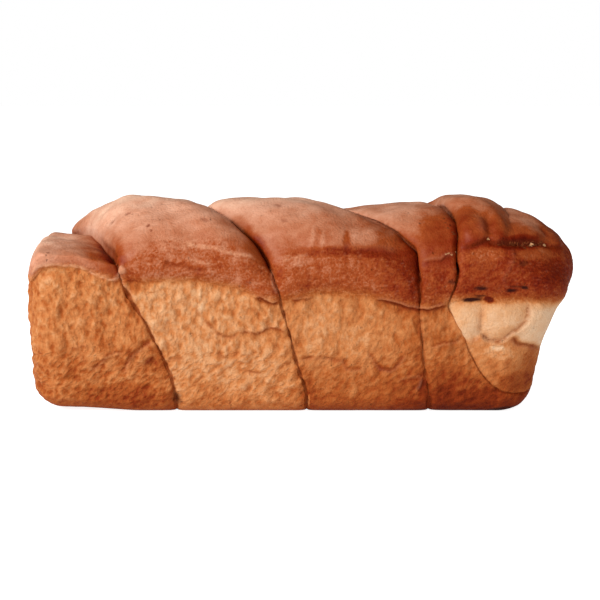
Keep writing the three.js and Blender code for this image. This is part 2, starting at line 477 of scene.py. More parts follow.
@dataclass(frozen=True)
class LoafEnd:
    """An end of the loaf.

    x is the place of its wall, the depths say how long the rounding before it is, the rounds the share
    of the section that the rounding takes, and leans how far the end leans in at heights. The lean
    starts lean_from before the wall and is full lean_to before it. toe is how far the front edge of the
    bottom turns up before the end, with toe_from and toe_to of the same kind. It has gone at toe_height
    up the wall, and along Y it fades between the toe_depths.
    """

    side: Side
    x: float
    wall_depth: float
    dome_depth: float
    wall_round: float
    dome_round: float
    heights: tuple[float, ...]
    leans: tuple[float, ...]
    lean_from: float = 95.0
    lean_to: float = 18.0
    toe: float = 0.0
    toe_from: float = 68.0
    toe_to: float = 25.0
    toe_height: float = 22.0
    toe_depths: Place = (-45.0, -10.0)

    def rounding(self, half: Array, reach: Array) -> tuple[Array, Array, Array, Array]:
        """Works out the rounding of the end.

        Args:
            half: Girth counted from the bottom.
            reach: Distance of the skin from the loaf's axis.

        Returns:
            Its depth, its share of the section, the arc over it and the flat wall that is left.
        """
        dome = ease(SECTION.rim - 5, SECTION.waist + 25, half)
        depth = mix(self.wall_depth, self.dome_depth, dome)
        share = mix(self.wall_round, self.dome_round, dome)
        arc = math.pi / 2 * np.sqrt((depth**2 + (share * reach) ** 2) / 2)
        return depth, share, arc, (1 - share) * reach

    def pole(self, half: Array, reach: Array) -> Array:
        """Works out how far the skin runs before it meets the middle of the end wall.

        Args:
            half: Girth counted from the bottom.
            reach: Distance of the skin from the loaf's axis.

        Returns:
            That place along the skin.
        """
        depth, _, arc, flat = self.rounding(half, reach)
        return self.x + self.side.value * (arc + flat - depth)

    def close(self, place: Array, half: Array, y: Array, z: Array) -> Array:
        """Brings section points onto the loaf, round the corner where they are past it.

        Args:
            place: Place along the skin.
            half: Girth counted from the bottom.
            y: Y of the section point.
            z: Z of the section point.

        Returns:
            The points, with X, Y and Z along the last axis.
        """
        side = self.side.value
        axis = SECTION.axis_height
        depth, share, arc, flat = self.rounding(half, np.hypot(y, z - axis))
        start = self.x - side * depth
        past = (place - start) * side
        turn = np.clip(past / arc, 0.0, 1.0) * math.pi / 2
        x = np.where(past > 0, start + side * depth * np.sin(turn), place)
        scale = 1 - share * (1 - np.cos(turn))
        beyond = (1 - share) * (1 - np.clip((past - arc) / flat, 0.0, 1.0))
        scale = np.where(past > arc, beyond, scale)
        height = mix(axis, z, scale)
        before = (self.x - x) * side
        near = 1 - ease(self.lean_to, self.lean_from, before)
        lean = through(self.heights, self.leans, height) * near
        y = y * scale
        low = (1 - ease(0.0, self.toe_height, height)) * (1 - ease(*self.toe_depths, y))
        height = height + self.toe * low * (1 - ease(self.toe_to, self.toe_from, before))
        return np.stack((x - side * lean, y, height), axis=-1)


@dataclass(frozen=True)
class Lumps:
    """A set of soft lumps in the risen dough: their length and height, and the two ways that they run."""

    length: float
    height: float
    first: Point
    second: Point

    def at(self, points: Array) -> Array:
        """Reads the height of the lumps.

        Args:
            points: Points of the skin.

        Returns:
            The height at each point.
        """
        wave = 2 * math.pi / self.length
        first, second = (wave * points @ np.array(way) for way in (self.first, self.second))
        return self.height * np.sin(first) * np.cos(second)


@dataclass
class Skin:
    """The loaf's skin as arrays over rings and columns, in millimetres.

    level is the girth counted from the bottom, and on the end walls the girth of the same height. capped
    is the share of the way onto the plain right end wall. The looks from cut to notch are those of the
    nearest seam, and seam_gap is how far it is, positive on its right.
    """

    points: Array
    place: Array
    girth: Array
    level: Array
    share: Array
    turn: Array
    seam_gap: Array
    cut: Array
    shade: Array
    flank: Array
    cut_width: Array
    flank_width: Array
    far_flank: Array
    notch: Array
    bake: Array
    blister: Array
    capped: Array


@dataclass(frozen=True)
class TwistedForm:
    """The whole form: seams, turns, ends, the rim line and how the mesh is spread over it.

    wall_lumps is how strong the lumps are on the wall. A turn's left lip is full and gone at two shares
    of the turn. The fades are how far from the floor and from the loaf's axis the lumps are full, and
    cap_full is how far the section has drawn in at an end where the looks go by height alone.
    no_seam_gap is the gap to a seam where an end of the loaf is nearer.
    The right end wall gets plain between two places along the skin and has a browning of its own.
    seam_depths are a seam's depths up the section, and box_powers say how square the turns are there.
    """

    seams: tuple[Seam, ...]
    turns: tuple[Turn, ...]
    left_end: LoafEnd
    right_end: LoafEnd
    front_rim: tuple[Place, ...]
    back_rim: tuple[Place, ...]
    lumps: tuple[Lumps, ...]
    columns: int = 270
    wall_lumps: float = 0.4
    lip_full: float = 0.04
    lip_gone: float = 0.3
    floor_fade: float = 14.0
    pole_fade: float = 15.0
    cap_full: float = 0.3
    no_seam_gap: float = 99.0
    capped_from: float = 160.0
    capped_to: float = 182.0
    capped_bake: Bake = Bake(0.66, 0.50, 0.40, 0.58, 0.75, 0.67, 0.33)
    seam_depths: tuple[float, ...] = (0.0, 1.6, 1.6, 3.0, 12.5, 11.0, 0.0)
    box_powers: tuple[float, ...] = (24.0, 7.0, 3.2, 2.6)

    def column_girths(self) -> Array:
        """Spreads the columns of the mesh over the girth, closest on the front.

        Returns:
            The girth of each column.
        """
        s = SECTION
        stations = [0, s.flat, s.foot, s.rim - 4, s.rim, s.rim + 5, s.shoulder, s.crest]
        gaps = [4.2, 2.4, 1.1, 1.05, 0.6, 1.0, 1.05, 1.7]
        back = [s.full - half for half in (s.waist, s.rim, s.foot, s.flat, 0)]
        return spaced(stations + back, gaps + [1.9, 1.7, 1.9, 2.6, 4.2], self.columns)[:-1]

    def ring_shares(self, index: int) -> Array:
        """Works out where a turn's rings lie, closest beside its seams.

        Args:
            index: Which turn, from the left.

        Returns:
            The share of the turn at each ring after its first.
        """
        if index == 0:
            gaps = {0: 3.2, 0.25: 2.2, 0.4: 1.1, 0.9: 1.1, 0.97: 0.6, 1: 0.35}
        elif index == len(self.turns) - 1:
            gaps = {0: 0.35, 0.03: 0.6, 0.1: 1.1, 0.45: 1.2, 0.65: 2.2, 1: 3.2}
        else:
            gaps = {0: 0.35, 0.03: 0.55, 0.09: 1.0, 0.91: 1.0, 0.97: 0.55, 1: 0.35}
        return spaced(list(gaps), list(gaps.values()), self.turns[index].rings)[1:]

    def lift(self, place: Array, girth: Array) -> Array:
        """Works out how far the rim line stands above the tin's usual rim.

        Args:
            place: Place along the skin.
            girth: Girths, which say whether the point is on the front or the back.

        Returns:
            The lift at each point.
        """
        front = through(*zip(*self.front_rim), place)
        back = through(*zip(*self.back_rim), place)
        return np.where(girth <= SECTION.crest, front, back) - SECTION.rim_height

    def swelling(self, index: int, share: Array, half: Array) -> Array:
        """Works out how far a turn swells over the seams beside it.

        Args:
            index: Which turn.
            share: Share of the way between its seams.
            half: Girth counted from the bottom.

        Returns:
            0 in the seam and 1 on the crown.
        """
        s, turn = SECTION, self.turns[index]
        dome = ease(s.shoulder, s.crest, half)
        wall = ease(s.rim, s.waist, half)
        power = through([s.rim - 4, s.waist + 6, s.shoulder, s.crest], self.box_powers, half)
        rising = share < turn.peak
        beyond = np.where(rising, (turn.peak - share) / turn.peak, (share - turn.peak) / (1 - turn.peak))
        edge = np.ones_like(share) * 0.5
        free = np.zeros_like(share, bool)
        for here, seam, ends in ((rising, index - 1, "rise"), (~rising, index, "fall")):
            if 0 <= seam < len(self.seams):
                near, far = getattr(self.seams[seam], ends)
                edge = np.where(here, mix(0.5, mix(near, far, dome), wall), edge)
            else:
                free = free | here
        swell = np.maximum(1 - beyond**power, 0.0) ** edge
        return np.where(free, 1.0, swell)

    def beside(self, index: int) -> tuple[Seam | None, Seam | None]:
        """Finds the seams beside a turn.

        Args:
            index: Which turn.

        Returns:
            The seams on its left and its right, with None at an end of the loaf.
        """
        left = self.seams[index - 1] if index > 0 else None
        right = self.seams[index] if index < len(self.seams) else None
        return left, right

    def span(self, index: int, girth: Array) -> tuple[Array, Array]:
        """Works out where a turn starts and stops along the skin.

        Args:
            index: Which turn.
            girth: Girths asked for.

        Returns:
            The places of its seams, or of the middle of the end wall where it is the first or the last.
        """
        s = SECTION
        half = s.half(girth)
        left_seam, right_seam = self.beside(index)
        outside = np.full_like(girth, math.copysign(PAST_END, index - 1))
        y, z = s.outline(girth, self.turns[index].crown, self.lift(outside, girth))
        reach = np.hypot(y, z - s.axis_height)
        left = left_seam.place(girth) if left_seam else self.left_end.pole(half, reach)
        right = right_seam.place(girth) if right_seam else self.right_end.pole(half, reach)
        return left, right

    def turn_points(self, index: int, share: Array, place: Array, girth: Array) -> tuple[Array, Array]:
        """Works out where the skin of a turn lies.

        Args:
            index: Which turn.
            share: Share of the turn at each point.
            place: Place along the skin.
            girth: Girth of each point.

        Returns:
            The points, and their level for the looks.
        """
        s, turn = SECTION, self.turns[index]
        half = s.half(girth)
        beside = self.beside(index)
        lift = self.lift(place, girth)
        y1, z1 = s.outline(girth, turn.crown, lift)
        valleys = [seam.valley if seam else turn.crown for seam in beside]
        shoulder = ease(s.rim, s.shoulder, half)
        depths = [mix(*seam.depth, shoulder) if seam else 0.0 for seam in beside]
        stations = [s.flat - 8, s.foot, s.rim - 6, s.rim + 4, s.shoulder, s.brow, s.crest]
        depth = through(stations, self.seam_depths, half) * mix(*depths, share)
        y0, z0 = s.inset(girth, mix(*valleys, share), lift, depth)
        swell = self.swelling(index, share, half)
        y, z = mix(y0, y1, swell), mix(z0, z1, swell)
        to_left, to_right = (end.close(place, half, y, z) for end in (self.left_end, self.right_end))
        points = np.where((place < 0)[..., None], to_left, to_right)
        drawn_in = np.hypot(points[..., 1], points[..., 2] - s.axis_height)
        cap = 1 - drawn_in / np.hypot(y, z - s.axis_height)
        same_height = s.at_height(points[..., 2], turn.crown, lift)
        level = mix(half, same_height, ease(0.0, self.cap_full, cap))
        if beside[0]:
            edge = ease(0, self.lip_full, share) * (1 - ease(self.lip_full, self.lip_gone, share))
            points[..., 0] -= beside[0].lip * edge * ease(s.waist, s.shoulder, half)
        return self.risen(points, half), level

    def seam_looks(self, index: int, gaps: Array, girth: Array) -> dict[str, Array]:
        """Reads the looks of the nearest seam.

        Args:
            index: Which turn.
            gaps: How far the seam on the left and the seam on the right are along the skin.
            girth: Girth of each point.

        Returns:
            The looks by name.
        """
        s = SECTION
        half = s.half(girth)
        shoulder = ease(s.rim, s.shoulder, half)
        nearer = np.argmin(gaps, axis=0)
        names = ("cut", "shade", "flank", "cut_width", "flank_width", "far_flank", "notch")
        looks = {name: np.zeros_like(girth) for name in names}
        looks["seam_gap"] = np.full_like(girth, self.no_seam_gap)
        for side, seam in enumerate(self.beside(index)):
            if seam is None:
                continue
            ahead, behind = (np.clip(girth + step, 0, s.full) for step in (1, -1))
            slant = (seam.place(ahead) - seam.place(behind)) / 2
            own = {
                "seam_gap": gaps[side] / np.hypot(1, slant) * (1 - 2 * side),
                "cut": up_the_seam(seam.cut, half),
                "shade": up_the_seam(seam.shade, half),
                "flank": up_the_seam(seam.flank, half),
                "cut_width": mix(*seam.cut_width, shoulder),
                "flank_width": seam.flank_width,
                "far_flank": seam.far_flank,
                "notch": seam.foot_notch,
            }
            for name, value in own.items():
                looks[name] = np.where(nearer == side, value, looks[name])
        return looks

    def turn_skin(self, index: int, shares: Array, girths: Array) -> Skin:
        """Works out the skin of a turn.

        Args:
            index: Which turn.
            shares: Share of the turn at each ring.
            girths: Girth of each column.

        Returns:
            The skin over those rings and columns.
        """
        s, turn = SECTION, self.turns[index]
        share, girth = np.meshgrid(shares, girths, indexing="ij")
        left, right = self.span(index, girth)
        place = mix(left, right, share)
        points, level = self.turn_points(index, share, place, girth)
        looks = self.seam_looks(index, np.stack((share, 1 - share)) * (right - left), girth)
        low = 1 - ease(s.rim - 4, s.waist, s.half(girth))
        capped = ease(self.capped_from, self.capped_to, place) * low
        for name in ("cut", "shade", "flank", "notch"):
            looks[name] *= 1 - capped
        bakes = (bake.level(level, share) for bake in (turn.bake, self.capped_bake))
        looks["bake"] = mix(*bakes, capped)
        looks["blister"] = np.full_like(share, turn.blister)
        looks["turn"] = np.full_like(share, index)
        return Skin(points, place, girth, level, share, capped=capped, **looks)

    def risen(self, points: Array, half: Array) -> Array:
        """Adds the soft lumps of the dough.

        Args:
            points: Points of the skin.
            half: Girth counted from the bottom.

        Returns:
            The points, moved away from the loaf's axis by the lumps.
        """
        s = SECTION
        out = points - np.array([0.0, 0.0, s.axis_height])
        out[..., 0] = 0.0
        length = np.linalg.norm(out, axis=-1)
        fade = ease(0, self.pole_fade, length) * ease(0, self.floor_fade, points[..., 2])
        strength = mix(self.wall_lumps, 1.0, ease(s.rim, s.shoulder, half))
        height = sum(lumps.at(points) for lumps in self.lumps) * strength
        return points + out / np.maximum(length, 1e-6)[..., None] * (height * fade)[..., None]

    def skin(self) -> Skin:
        """Works out the skin of the whole loaf.

        Returns:
            The skin, from the left pole to the right one.
        """
        girths = self.column_girths()
        shares = [self.ring_shares(index) for index in range(len(self.turns))]
        shares[0] = np.concatenate(([0.0], shares[0]))
        parts = [self.turn_skin(index, own, girths) for index, own in enumerate(shares)]
        joined = {name: np.concatenate([getattr(part, name) for part in parts]) for name in vars(parts[0])}
        return Skin(**joined)


# ------------------------------------------------------------
# Crust: lines, spots and roughness on the skin
# ------------------------------------------------------------


class LineKind(Enum):
    """What a line on the crust is."""

    CREASE = "thin dark valley"
    FOLD = "step whose left-hand side stands proud"
    RIDGE = "thin raised pale edge"
    SCUFF = "flat pale broken streak"


class CrustMark:
    """A mark on the crust, of one of several kinds."""

    @classmethod
    def each(cls, kind: Enum, *rows: tuple) -> list["CrustMark"]:
        """Makes marks of one kind, each from a row of its other values."""
        return [cls(kind, *row) for row in rows]


@dataclass(frozen=True)
class CrustLine(CrustMark):
    """A line on the front of the loaf, through places in X and Z.

    It has a width, a depth and a strength of its tone, which is painted shade in and beside creases and
    folds and paleness on ridges and scuffs, and says how bright the painted highlight on its lit edge is
    against that.
    """

    kind: LineKind
    path: tuple[Place, ...]
    width: float = 0.8
    depth: float = 0.5
    tone: float = 0.6
    lit: float = 0.3


class SpotKind(Enum):
    """What a spot on the crust is."""

    BURN = "black scorched patch"
    PORE = "small dark pit"
    KNOB = "raised pale bump"
    BLUSH = "browner patch"
    PALE = "lighter patch"
    SWELL = "soft swelling"


@dataclass(frozen=True)
class CrustSpot(CrustMark):
    """A spot on the front: its centre in X and Z, half sizes, slant in degrees, height and strength."""

    kind: SpotKind
    at: Place
    size: Place
    slant: float = 0.0
    height: float = 0.0
    tone: float = 0.6


# The look that a spot raises, by its kind; a pore's is painted shade in its pit
SPOT_LOOKS = {SpotKind.BURN: "scorch", SpotKind.PORE: "crease", SpotKind.KNOB: "light"}


@dataclass
class CrustLook:
    """The height of the crust's relief and the looks that its finish reads, over rings and columns.

    The browning level also carries painted light and shade, the crease look is painted shade in
    creases, seams and pits, and the light look holds pale marks of the crust together with painted
    highlights on lit edges.
    """

    height: Array
    bake: Array
    crease: Array
    light: Array
    scorch: Array
    pressed: Array
    rough: Array
    puffs: Array

    def top_up(self, name: str, value: Array, near: Array | slice = slice(None)) -> None:
        """Raises a look to at least a value.

        Args:
            name: Name of the look.
            value: The value at each vertex that is near.
            near: Which vertices are near, all unless it is given.
        """
        shown = getattr(self, name)
        shown[near] = np.maximum(shown[near], value)


SHOWN_LOOKS = tuple(look.name for look in fields(CrustLook) if look.name != "height")


@dataclass
class CrustRelief:
    """Works out the fine relief and the looks of the crust over a skin.

    A field that ends in height says how high a pattern stands in millimetres, and one that ends in tone
    how far it shifts the browning; the lip tone is painted light, the line tone painted shade, and the
    blister tone partly painted light. front_y is the place along Y up to which the skin is the front,
    drawn how strongly lines and spots show on the skin, and tin how much of it the tin pressed.
    """

    skin: Skin
    normals: Array
    band_top: tuple[Place, ...]
    pale_edge: tuple[Place, ...]
    front_y: float = -6.0
    slant_top: float = 38.0
    notch_width: float = 3.6
    far_flank_reach: Place = (3.0, 7.5)
    lip_tone: float = 0.05
    blister_height: float = 1.5
    blister_middle: float = 0.3
    blister_tone: float = 0.08
    wave_height: float = 0.6
    torn_height: float = 0.36
    torn_tone: float = 0.08
    pit_height: float = 0.45
    streak_tone: float = 0.10
    fleck_least: float = 0.25
    fleck_light: float = 0.6
    dome_height: float = 0.4
    dome_torn_height: float = 0.07
    dome_tone: float = 0.09
    unbaked: float = 0.11
    unbaked_share: float = 0.96
    line_step: float = 1.2
    line_taper: float = 4.0
    line_tone: float = 0.3
    stray_length: float = 2.7
    stray_height: float = 0.5
    spot_edge: Place = (0.55, 1.15)
    floor_fade: float = 4.0
    floor_dents: float = 0.25
    look: CrustLook = field(init=False)
    half: Array = field(init=False)
    points: Array = field(init=False)
    front: Array = field(init=False)
    drawn: Array = field(init=False)
    tin: Array = field(init=False)
    fleck: Array = field(init=False)

    def __post_init__(self) -> None:
        """Starts with a smooth crust that is as brown as its turns."""
        self.half = self.skin.level
        self.points = self.skin.points.reshape(-1, 3)
        self.front = (self.skin.girth < SECTION.crest) & (self.skin.points[..., 1] < self.front_y)
        self.drawn = self.front * (1 - self.skin.capped)
        self.tin = 1 - ease(SECTION.rim - 0.8, SECTION.rim + 0.8, self.half)
        self.fleck = self.pattern((1.6, 1.6, 1.3), 77.1)
        self.look = CrustLook(*(np.zeros_like(self.half) for _ in fields(CrustLook)))
        self.look.bake += self.skin.bake
        self.look.pressed += 1 - ease(SECTION.rim - 0.5, SECTION.rim + 7.0, self.half)

    def pattern(self, length: Point, shift: float, octaves: int = 1, shear: float = 0.0) -> Array:
        """Reads noise over the skin.

        Args:
            length: How long the grain is along X, Y and Z.
            shift: Moves the pattern.
            octaves: How many finer copies are added.
            shear: How far the grain slants for each millimetre of height, low on the wall.

        Returns:
            The noise at each vertex.
        """
        slanted = self.points.copy()
        slanted[:, :2] -= shear * np.minimum(slanted[:, 2:], self.slant_top)
        return grain(slanted, length, shift, octaves).reshape(self.half.shape)

    def seams(self) -> None:
        """Cuts the crevice in each seam and rounds the foot beside it.

        Paints shade into the crevice and onto the flanks beside it, most on the flank turned from the
        light, and paints a lighter strip of light on the lip of the turn on the seam's right.
        """
        s, look, skin = SECTION, self.look, self.skin
        gap = np.abs(skin.seam_gap)
        ragged = 1 + 0.6 * self.pattern((3.5, 3.5, 3.5), 3.1)
        under = ease(0, s.flat, self.half)
        width = np.maximum(skin.cut_width, 0.1)
        look.height -= skin.cut * ragged * bump(gap, width) * mix(0.5, 1.0, under)
        foot = bump(self.half - (s.flat + s.foot) / 2, 8.0)
        look.height -= skin.notch * foot * bump(gap, self.notch_width)
        # Painted shade in the seam's crevice
        look.top_up("crease", skin.shade * bump(gap, width) * np.clip(ragged, 0.3, 1.4))
        # Painted shade on the flanks beside the seam: most on the turn on its left, whose flank is turned
        # from the light, and a share on its right
        soft = 1 + 0.5 * self.pattern((7.0, 7.0, 7.0), 6.3)
        on_left = skin.flank * np.exp(-gap / (skin.flank_width * soft / 2 + 0.1)) * (0.7 + 0.3 * ragged)
        far = ease(*self.far_flank_reach, gap * (0.6 + 0.4 * soft))
        on_right = skin.far_flank * skin.flank * (1 - far)
        look.bake += np.where(skin.seam_gap < 0, on_left, on_right)
        # Painted light: a lighter strip on the lip of the turn on the seam's right, which faces the light
        look.bake -= self.lip_tone * bump(skin.seam_gap - 3.0, 2.4) * (skin.cut > 0.05)

    def wall(self) -> None:
        """Blisters the walls that the tin pressed: upright lumps above, fine slanting ridges below."""
        s, look = SECTION, self.look
        up = ease(s.foot + 16, s.foot + 42, self.half)
        tall = self.pattern((4.6, 4.6, 8.5), 11.3)
        cells = np.abs(self.pattern((7.5, 7.5, 13.0), 71.3)) * 2.0
        broad = self.pattern((12.0, 12.0, 19.0), 5.7)
        slant = self.pattern((3.8, 3.8, 9.0), 23.9, shear=0.62)
        cross = self.pattern((6.0, 6.0, 4.6), 41.0)
        small = self.pattern((2.5, 2.5, 3.2), 88.0)
        upper = 0.8 * tall + 0.6 * cells + 0.3 * cross + 0.5 * small
        lower = 0.8 * slant + 0.4 * cells + 0.4 * cross + 0.45 * small
        blister = mix(lower, upper, up) * (1 + 0.7 * broad)
        amount = self.tin * ease(s.flat - 4, s.foot + 4, self.half) * (1 - 0.85 * self.pale())
        amount *= self.skin.blister
        look.height += self.blister_height * (blister - self.blister_middle) * amount
        look.height += self.wave_height * self.pattern((19.0, 19.0, 24.0), 2.2) * self.tin
        # The blister tops are lighter: partly their own paler crust, partly a painted highlight on the tops
        look.bake -= self.blister_tone * (blister - self.blister_middle) * amount
        look.bake += (0.06 * broad + 0.07 * self.pattern((22.0, 22.0, 22.0), 9.2)) * amount
        look.puffs = amount

    def pale(self) -> Array:
        """Finds the pale crust, which stayed unbrowned at the right end of the front.

        Returns:
            The share of it at each vertex.
        """
        border = through(*zip(*self.pale_edge), self.skin.points[..., 0])
        height = self.skin.points[..., 2]
        ragged = 1.2 * np.sin(self.skin.place / 3.1) + 0.8 * np.sin(self.skin.place / 1.3)
        above = ease(border - 1.0, border + 2.5, height)
        under = 1 - ease(SECTION.rim - 6.5, SECTION.rim + 3.5, self.half)
        round_corner = 1 - ease(-34.0, -12.0, self.skin.points[..., 1] + 4 * ragged)
        return above * under * round_corner * (self.skin.turn >= 4) * self.front

    def band(self) -> None:
        """Roughens the band above the rim, where the rising dough tore its skin, and smooths the dome."""
        s, look, skin = SECTION, self.look, self.skin
        top = s.waist + through(*zip(*self.band_top), skin.place)
        top = np.where(skin.girth <= s.crest, top, s.waist + 15)
        edge = top + 3.0 * self.pattern((9.0, 9.0, 9.0), 8.8)
        risen = 1 - self.tin
        band = risen * (1 - ease(edge - 3, edge + 3, self.half))
        torn = self.pattern((4.2, 2.4, 1.9), 14.2, octaves=3)
        pits = np.maximum(self.pattern((2.6, 2.6, 2.6), 37.7), 0)
        look.height += band * (self.torn_height * torn - self.pit_height * pits)
        streaks = self.pattern((14.0, 9.0, 3.2), 83.0) + self.pattern((3.6, 3.6, 9.0), 29.0)
        look.bake += band * (self.streak_tone * streaks * skin.blister - self.torn_tone * torn)
        flecks = np.maximum(self.fleck - self.fleck_least, 0) * skin.blister
        look.top_up("light", self.fleck_light * band * flecks)
        look.top_up("rough", band)
        dome = risen - band
        dents = self.pattern((15.0, 11.0, 11.0), 19.4)
        look.height += dome * (self.dome_height * dents + self.dome_torn_height * torn)
        look.bake += dome * self.dome_tone * self.pattern((11.0, 11.0, 11.0), 51.2, octaves=3)

    def bleach(self) -> None:
        """Leaves the pale crust unbrowned."""
        level = self.unbaked + 0.06 * self.pattern((6.0, 6.0, 6.0), 61.0)
        level += 0.04 * ease(SECTION.rim - 16, SECTION.rim, self.half)
        # Painted light: the right part of the pale crust is painted lighter, as if more light fell on it
        level -= 0.10 * ease(122.0, 142.0, self.skin.points[..., 0])
        self.look.bake = mix(self.look.bake, level, self.unbaked_share * self.pale())

    def line(self, line: CrustLine) -> None:
        """Draws one line on the front.

        Args:
            line: The line.
        """
        xs, zs, at = self.route(line)
        x, z = self.skin.points[..., 0], self.skin.points[..., 2]
        reach = 8 * line.width
        near = self.front & (x > xs.min() - reach) & (x < xs.max() + reach)
        near &= (z > zs.min() - reach) & (z < zs.max() + reach)
        x, z = x[near], z[near]
        best, signed, along = np.full(x.shape, np.inf), np.zeros(x.shape), np.zeros(x.shape)
        for k in range(len(at) - 1):
            dx, dz = xs[k + 1] - xs[k], zs[k + 1] - zs[k]
            f = np.clip(((x - xs[k]) * dx + (z - zs[k]) * dz) / math.hypot(dx, dz) ** 2, 0, 1)
            distance = np.hypot(x - xs[k] - f * dx, z - zs[k] - f * dz)
            closer = distance < best
            best = np.where(closer, distance, best)
            side = np.sign(dx * (z - zs[k]) - dz * (x - xs[k]))
            signed = np.where(closer, side * distance, signed)
            along = np.where(closer, at[k] + f * (at[k + 1] - at[k]), along)
        taper = min(self.line_taper, at[-1] / 3)
        strength = ease(0, taper, along + 0.4) * ease(0, taper, at[-1] - along + 0.4)
        strength *= 1 + 0.35 * np.array([noise.noise((a / 3.0, line.depth, at[-1])) for a in along])
        strength *= self.drawn[near]
        self.press(line, near, best, signed, strength)

    def route(self, line: CrustLine) -> tuple[Array, Array, Array]:
        """Runs a curve that strays a little through the places of a line.

        Args:
            line: The line.

        Returns:
            X, Z and the run along the line at each step.
        """
        path = np.array(line.path)
        run = np.concatenate(([0.0], np.cumsum(np.hypot(*np.diff(path, axis=0).T))))
        at = np.linspace(0, run[-1], max(int(run[-1] / self.line_step), 4))
        xs, zs = (through(run, places, at) for places in path.T)
        length = self.stray_length
        stray = [noise.noise((x / length, z / length, line.width)) for x, z in zip(xs, zs)]
        return xs, zs + self.stray_height * np.array(stray), at

    def press(self, line: CrustLine, near: Array, distance: Array, signed: Array, strength: Array) -> None:
        """Adds a line's relief and tone where it is near.

        Args:
            line: The line.
            near: Which vertices are near.
            distance: Their distances from the line.
            signed: The same, positive on the line's left hand.
            strength: The line's strength beside them, 1 along most of it.
        """
        look, w = self.look, line.width
        deep, dark, lit = (share * strength for share in (line.depth, line.tone, line.lit * line.tone))
        if line.kind is LineKind.CREASE:
            look.height[near] -= deep * bump(distance, w)
            # Painted shade in and beside the crease, and a painted highlight on its lit edge
            look.bake[near] += self.line_tone * dark * bump(distance, 2.4 * w)
            look.top_up("crease", dark * bump(distance, w), near)
            look.top_up("light", lit * bump(signed + 1.8 * w, w), near)
        elif line.kind is LineKind.FOLD:
            proud = np.where(signed > 0, np.exp(-signed / (3.5 * w)), -0.9 * np.exp(signed / (1.8 * w)))
            look.height[near] += deep * np.clip(signed / 0.5, -1, 1) * np.abs(proud)
            # Painted shade on the fold's low side and in its crease, and a painted highlight on its proud
            # edge
            look.bake[near] += self.line_tone * dark * np.where(signed < 0, np.exp(signed / (3 * w)), 0)
            look.top_up("crease", dark * bump(signed + 0.5 * w, w), near)
            look.top_up("light", lit * bump(signed - 1.2 * w, 0.9 * w), near)
        elif line.kind is LineKind.RIDGE:
            broken = bump(distance, w) * np.clip(0.7 + 1.1 * self.fleck[near], 0, 1.3)
            look.height[near] += deep * broken
            look.top_up("light", dark * broken, near)
        else:
            broken = bump(distance, w) * np.clip(0.7 + 0.9 * self.fleck[near], 0, 1.2)
            look.top_up("light", dark * broken, near)

    def spot(self, spot: CrustSpot) -> None:
        """Puts one spot on the front.

        Args:
            spot: The spot.
        """
        look, turn = self.look, math.radians(spot.slant)
        dx, dz = self.skin.points[..., 0] - spot.at[0], self.skin.points[..., 2] - spot.at[1]
        u = (dx * math.cos(turn) + dz * math.sin(turn)) / spot.size[0]
        v = (-dx * math.sin(turn) + dz * math.cos(turn)) / spot.size[1]
        if spot.kind is SpotKind.SWELL:
            look.height += spot.height * self.drawn * np.exp(-(u**2 + v**2) ** 2)
            return
        far = np.hypot(u, v) + 0.25 * self.fleck
        inside = self.drawn * (1 - ease(*self.spot_edge, far))
        look.height += spot.height * inside
        if spot.kind in SPOT_LOOKS:
            look.top_up(SPOT_LOOKS[spot.kind], spot.tone * inside)
        else:
            look.bake += spot.tone * inside * (1 if spot.kind is SpotKind.BLUSH else -1)

    def finish(self) -> Array:
        """Settles the looks and moves the skin.

        Returns:
            The points of the skin with their relief.
        """
        look = self.look
        look.puffs = look.puffs * (1 - look.crease)
        for name in SHOWN_LOOKS:
            setattr(look, name, np.clip(getattr(look, name), 0.0, 1.0))
        rest = ease(0.0, self.floor_fade, self.skin.points[..., 2])
        share = np.where(look.height > 0, rest, mix(self.floor_dents, 1.0, rest))
        height = look.height * share
        moved = self.skin.points + self.normals * height[..., None]
        moved[..., 2] = np.maximum(moved[..., 2], 0.0)
        return moved


# ------------------------------------------------------------
# Finishes
# ------------------------------------------------------------


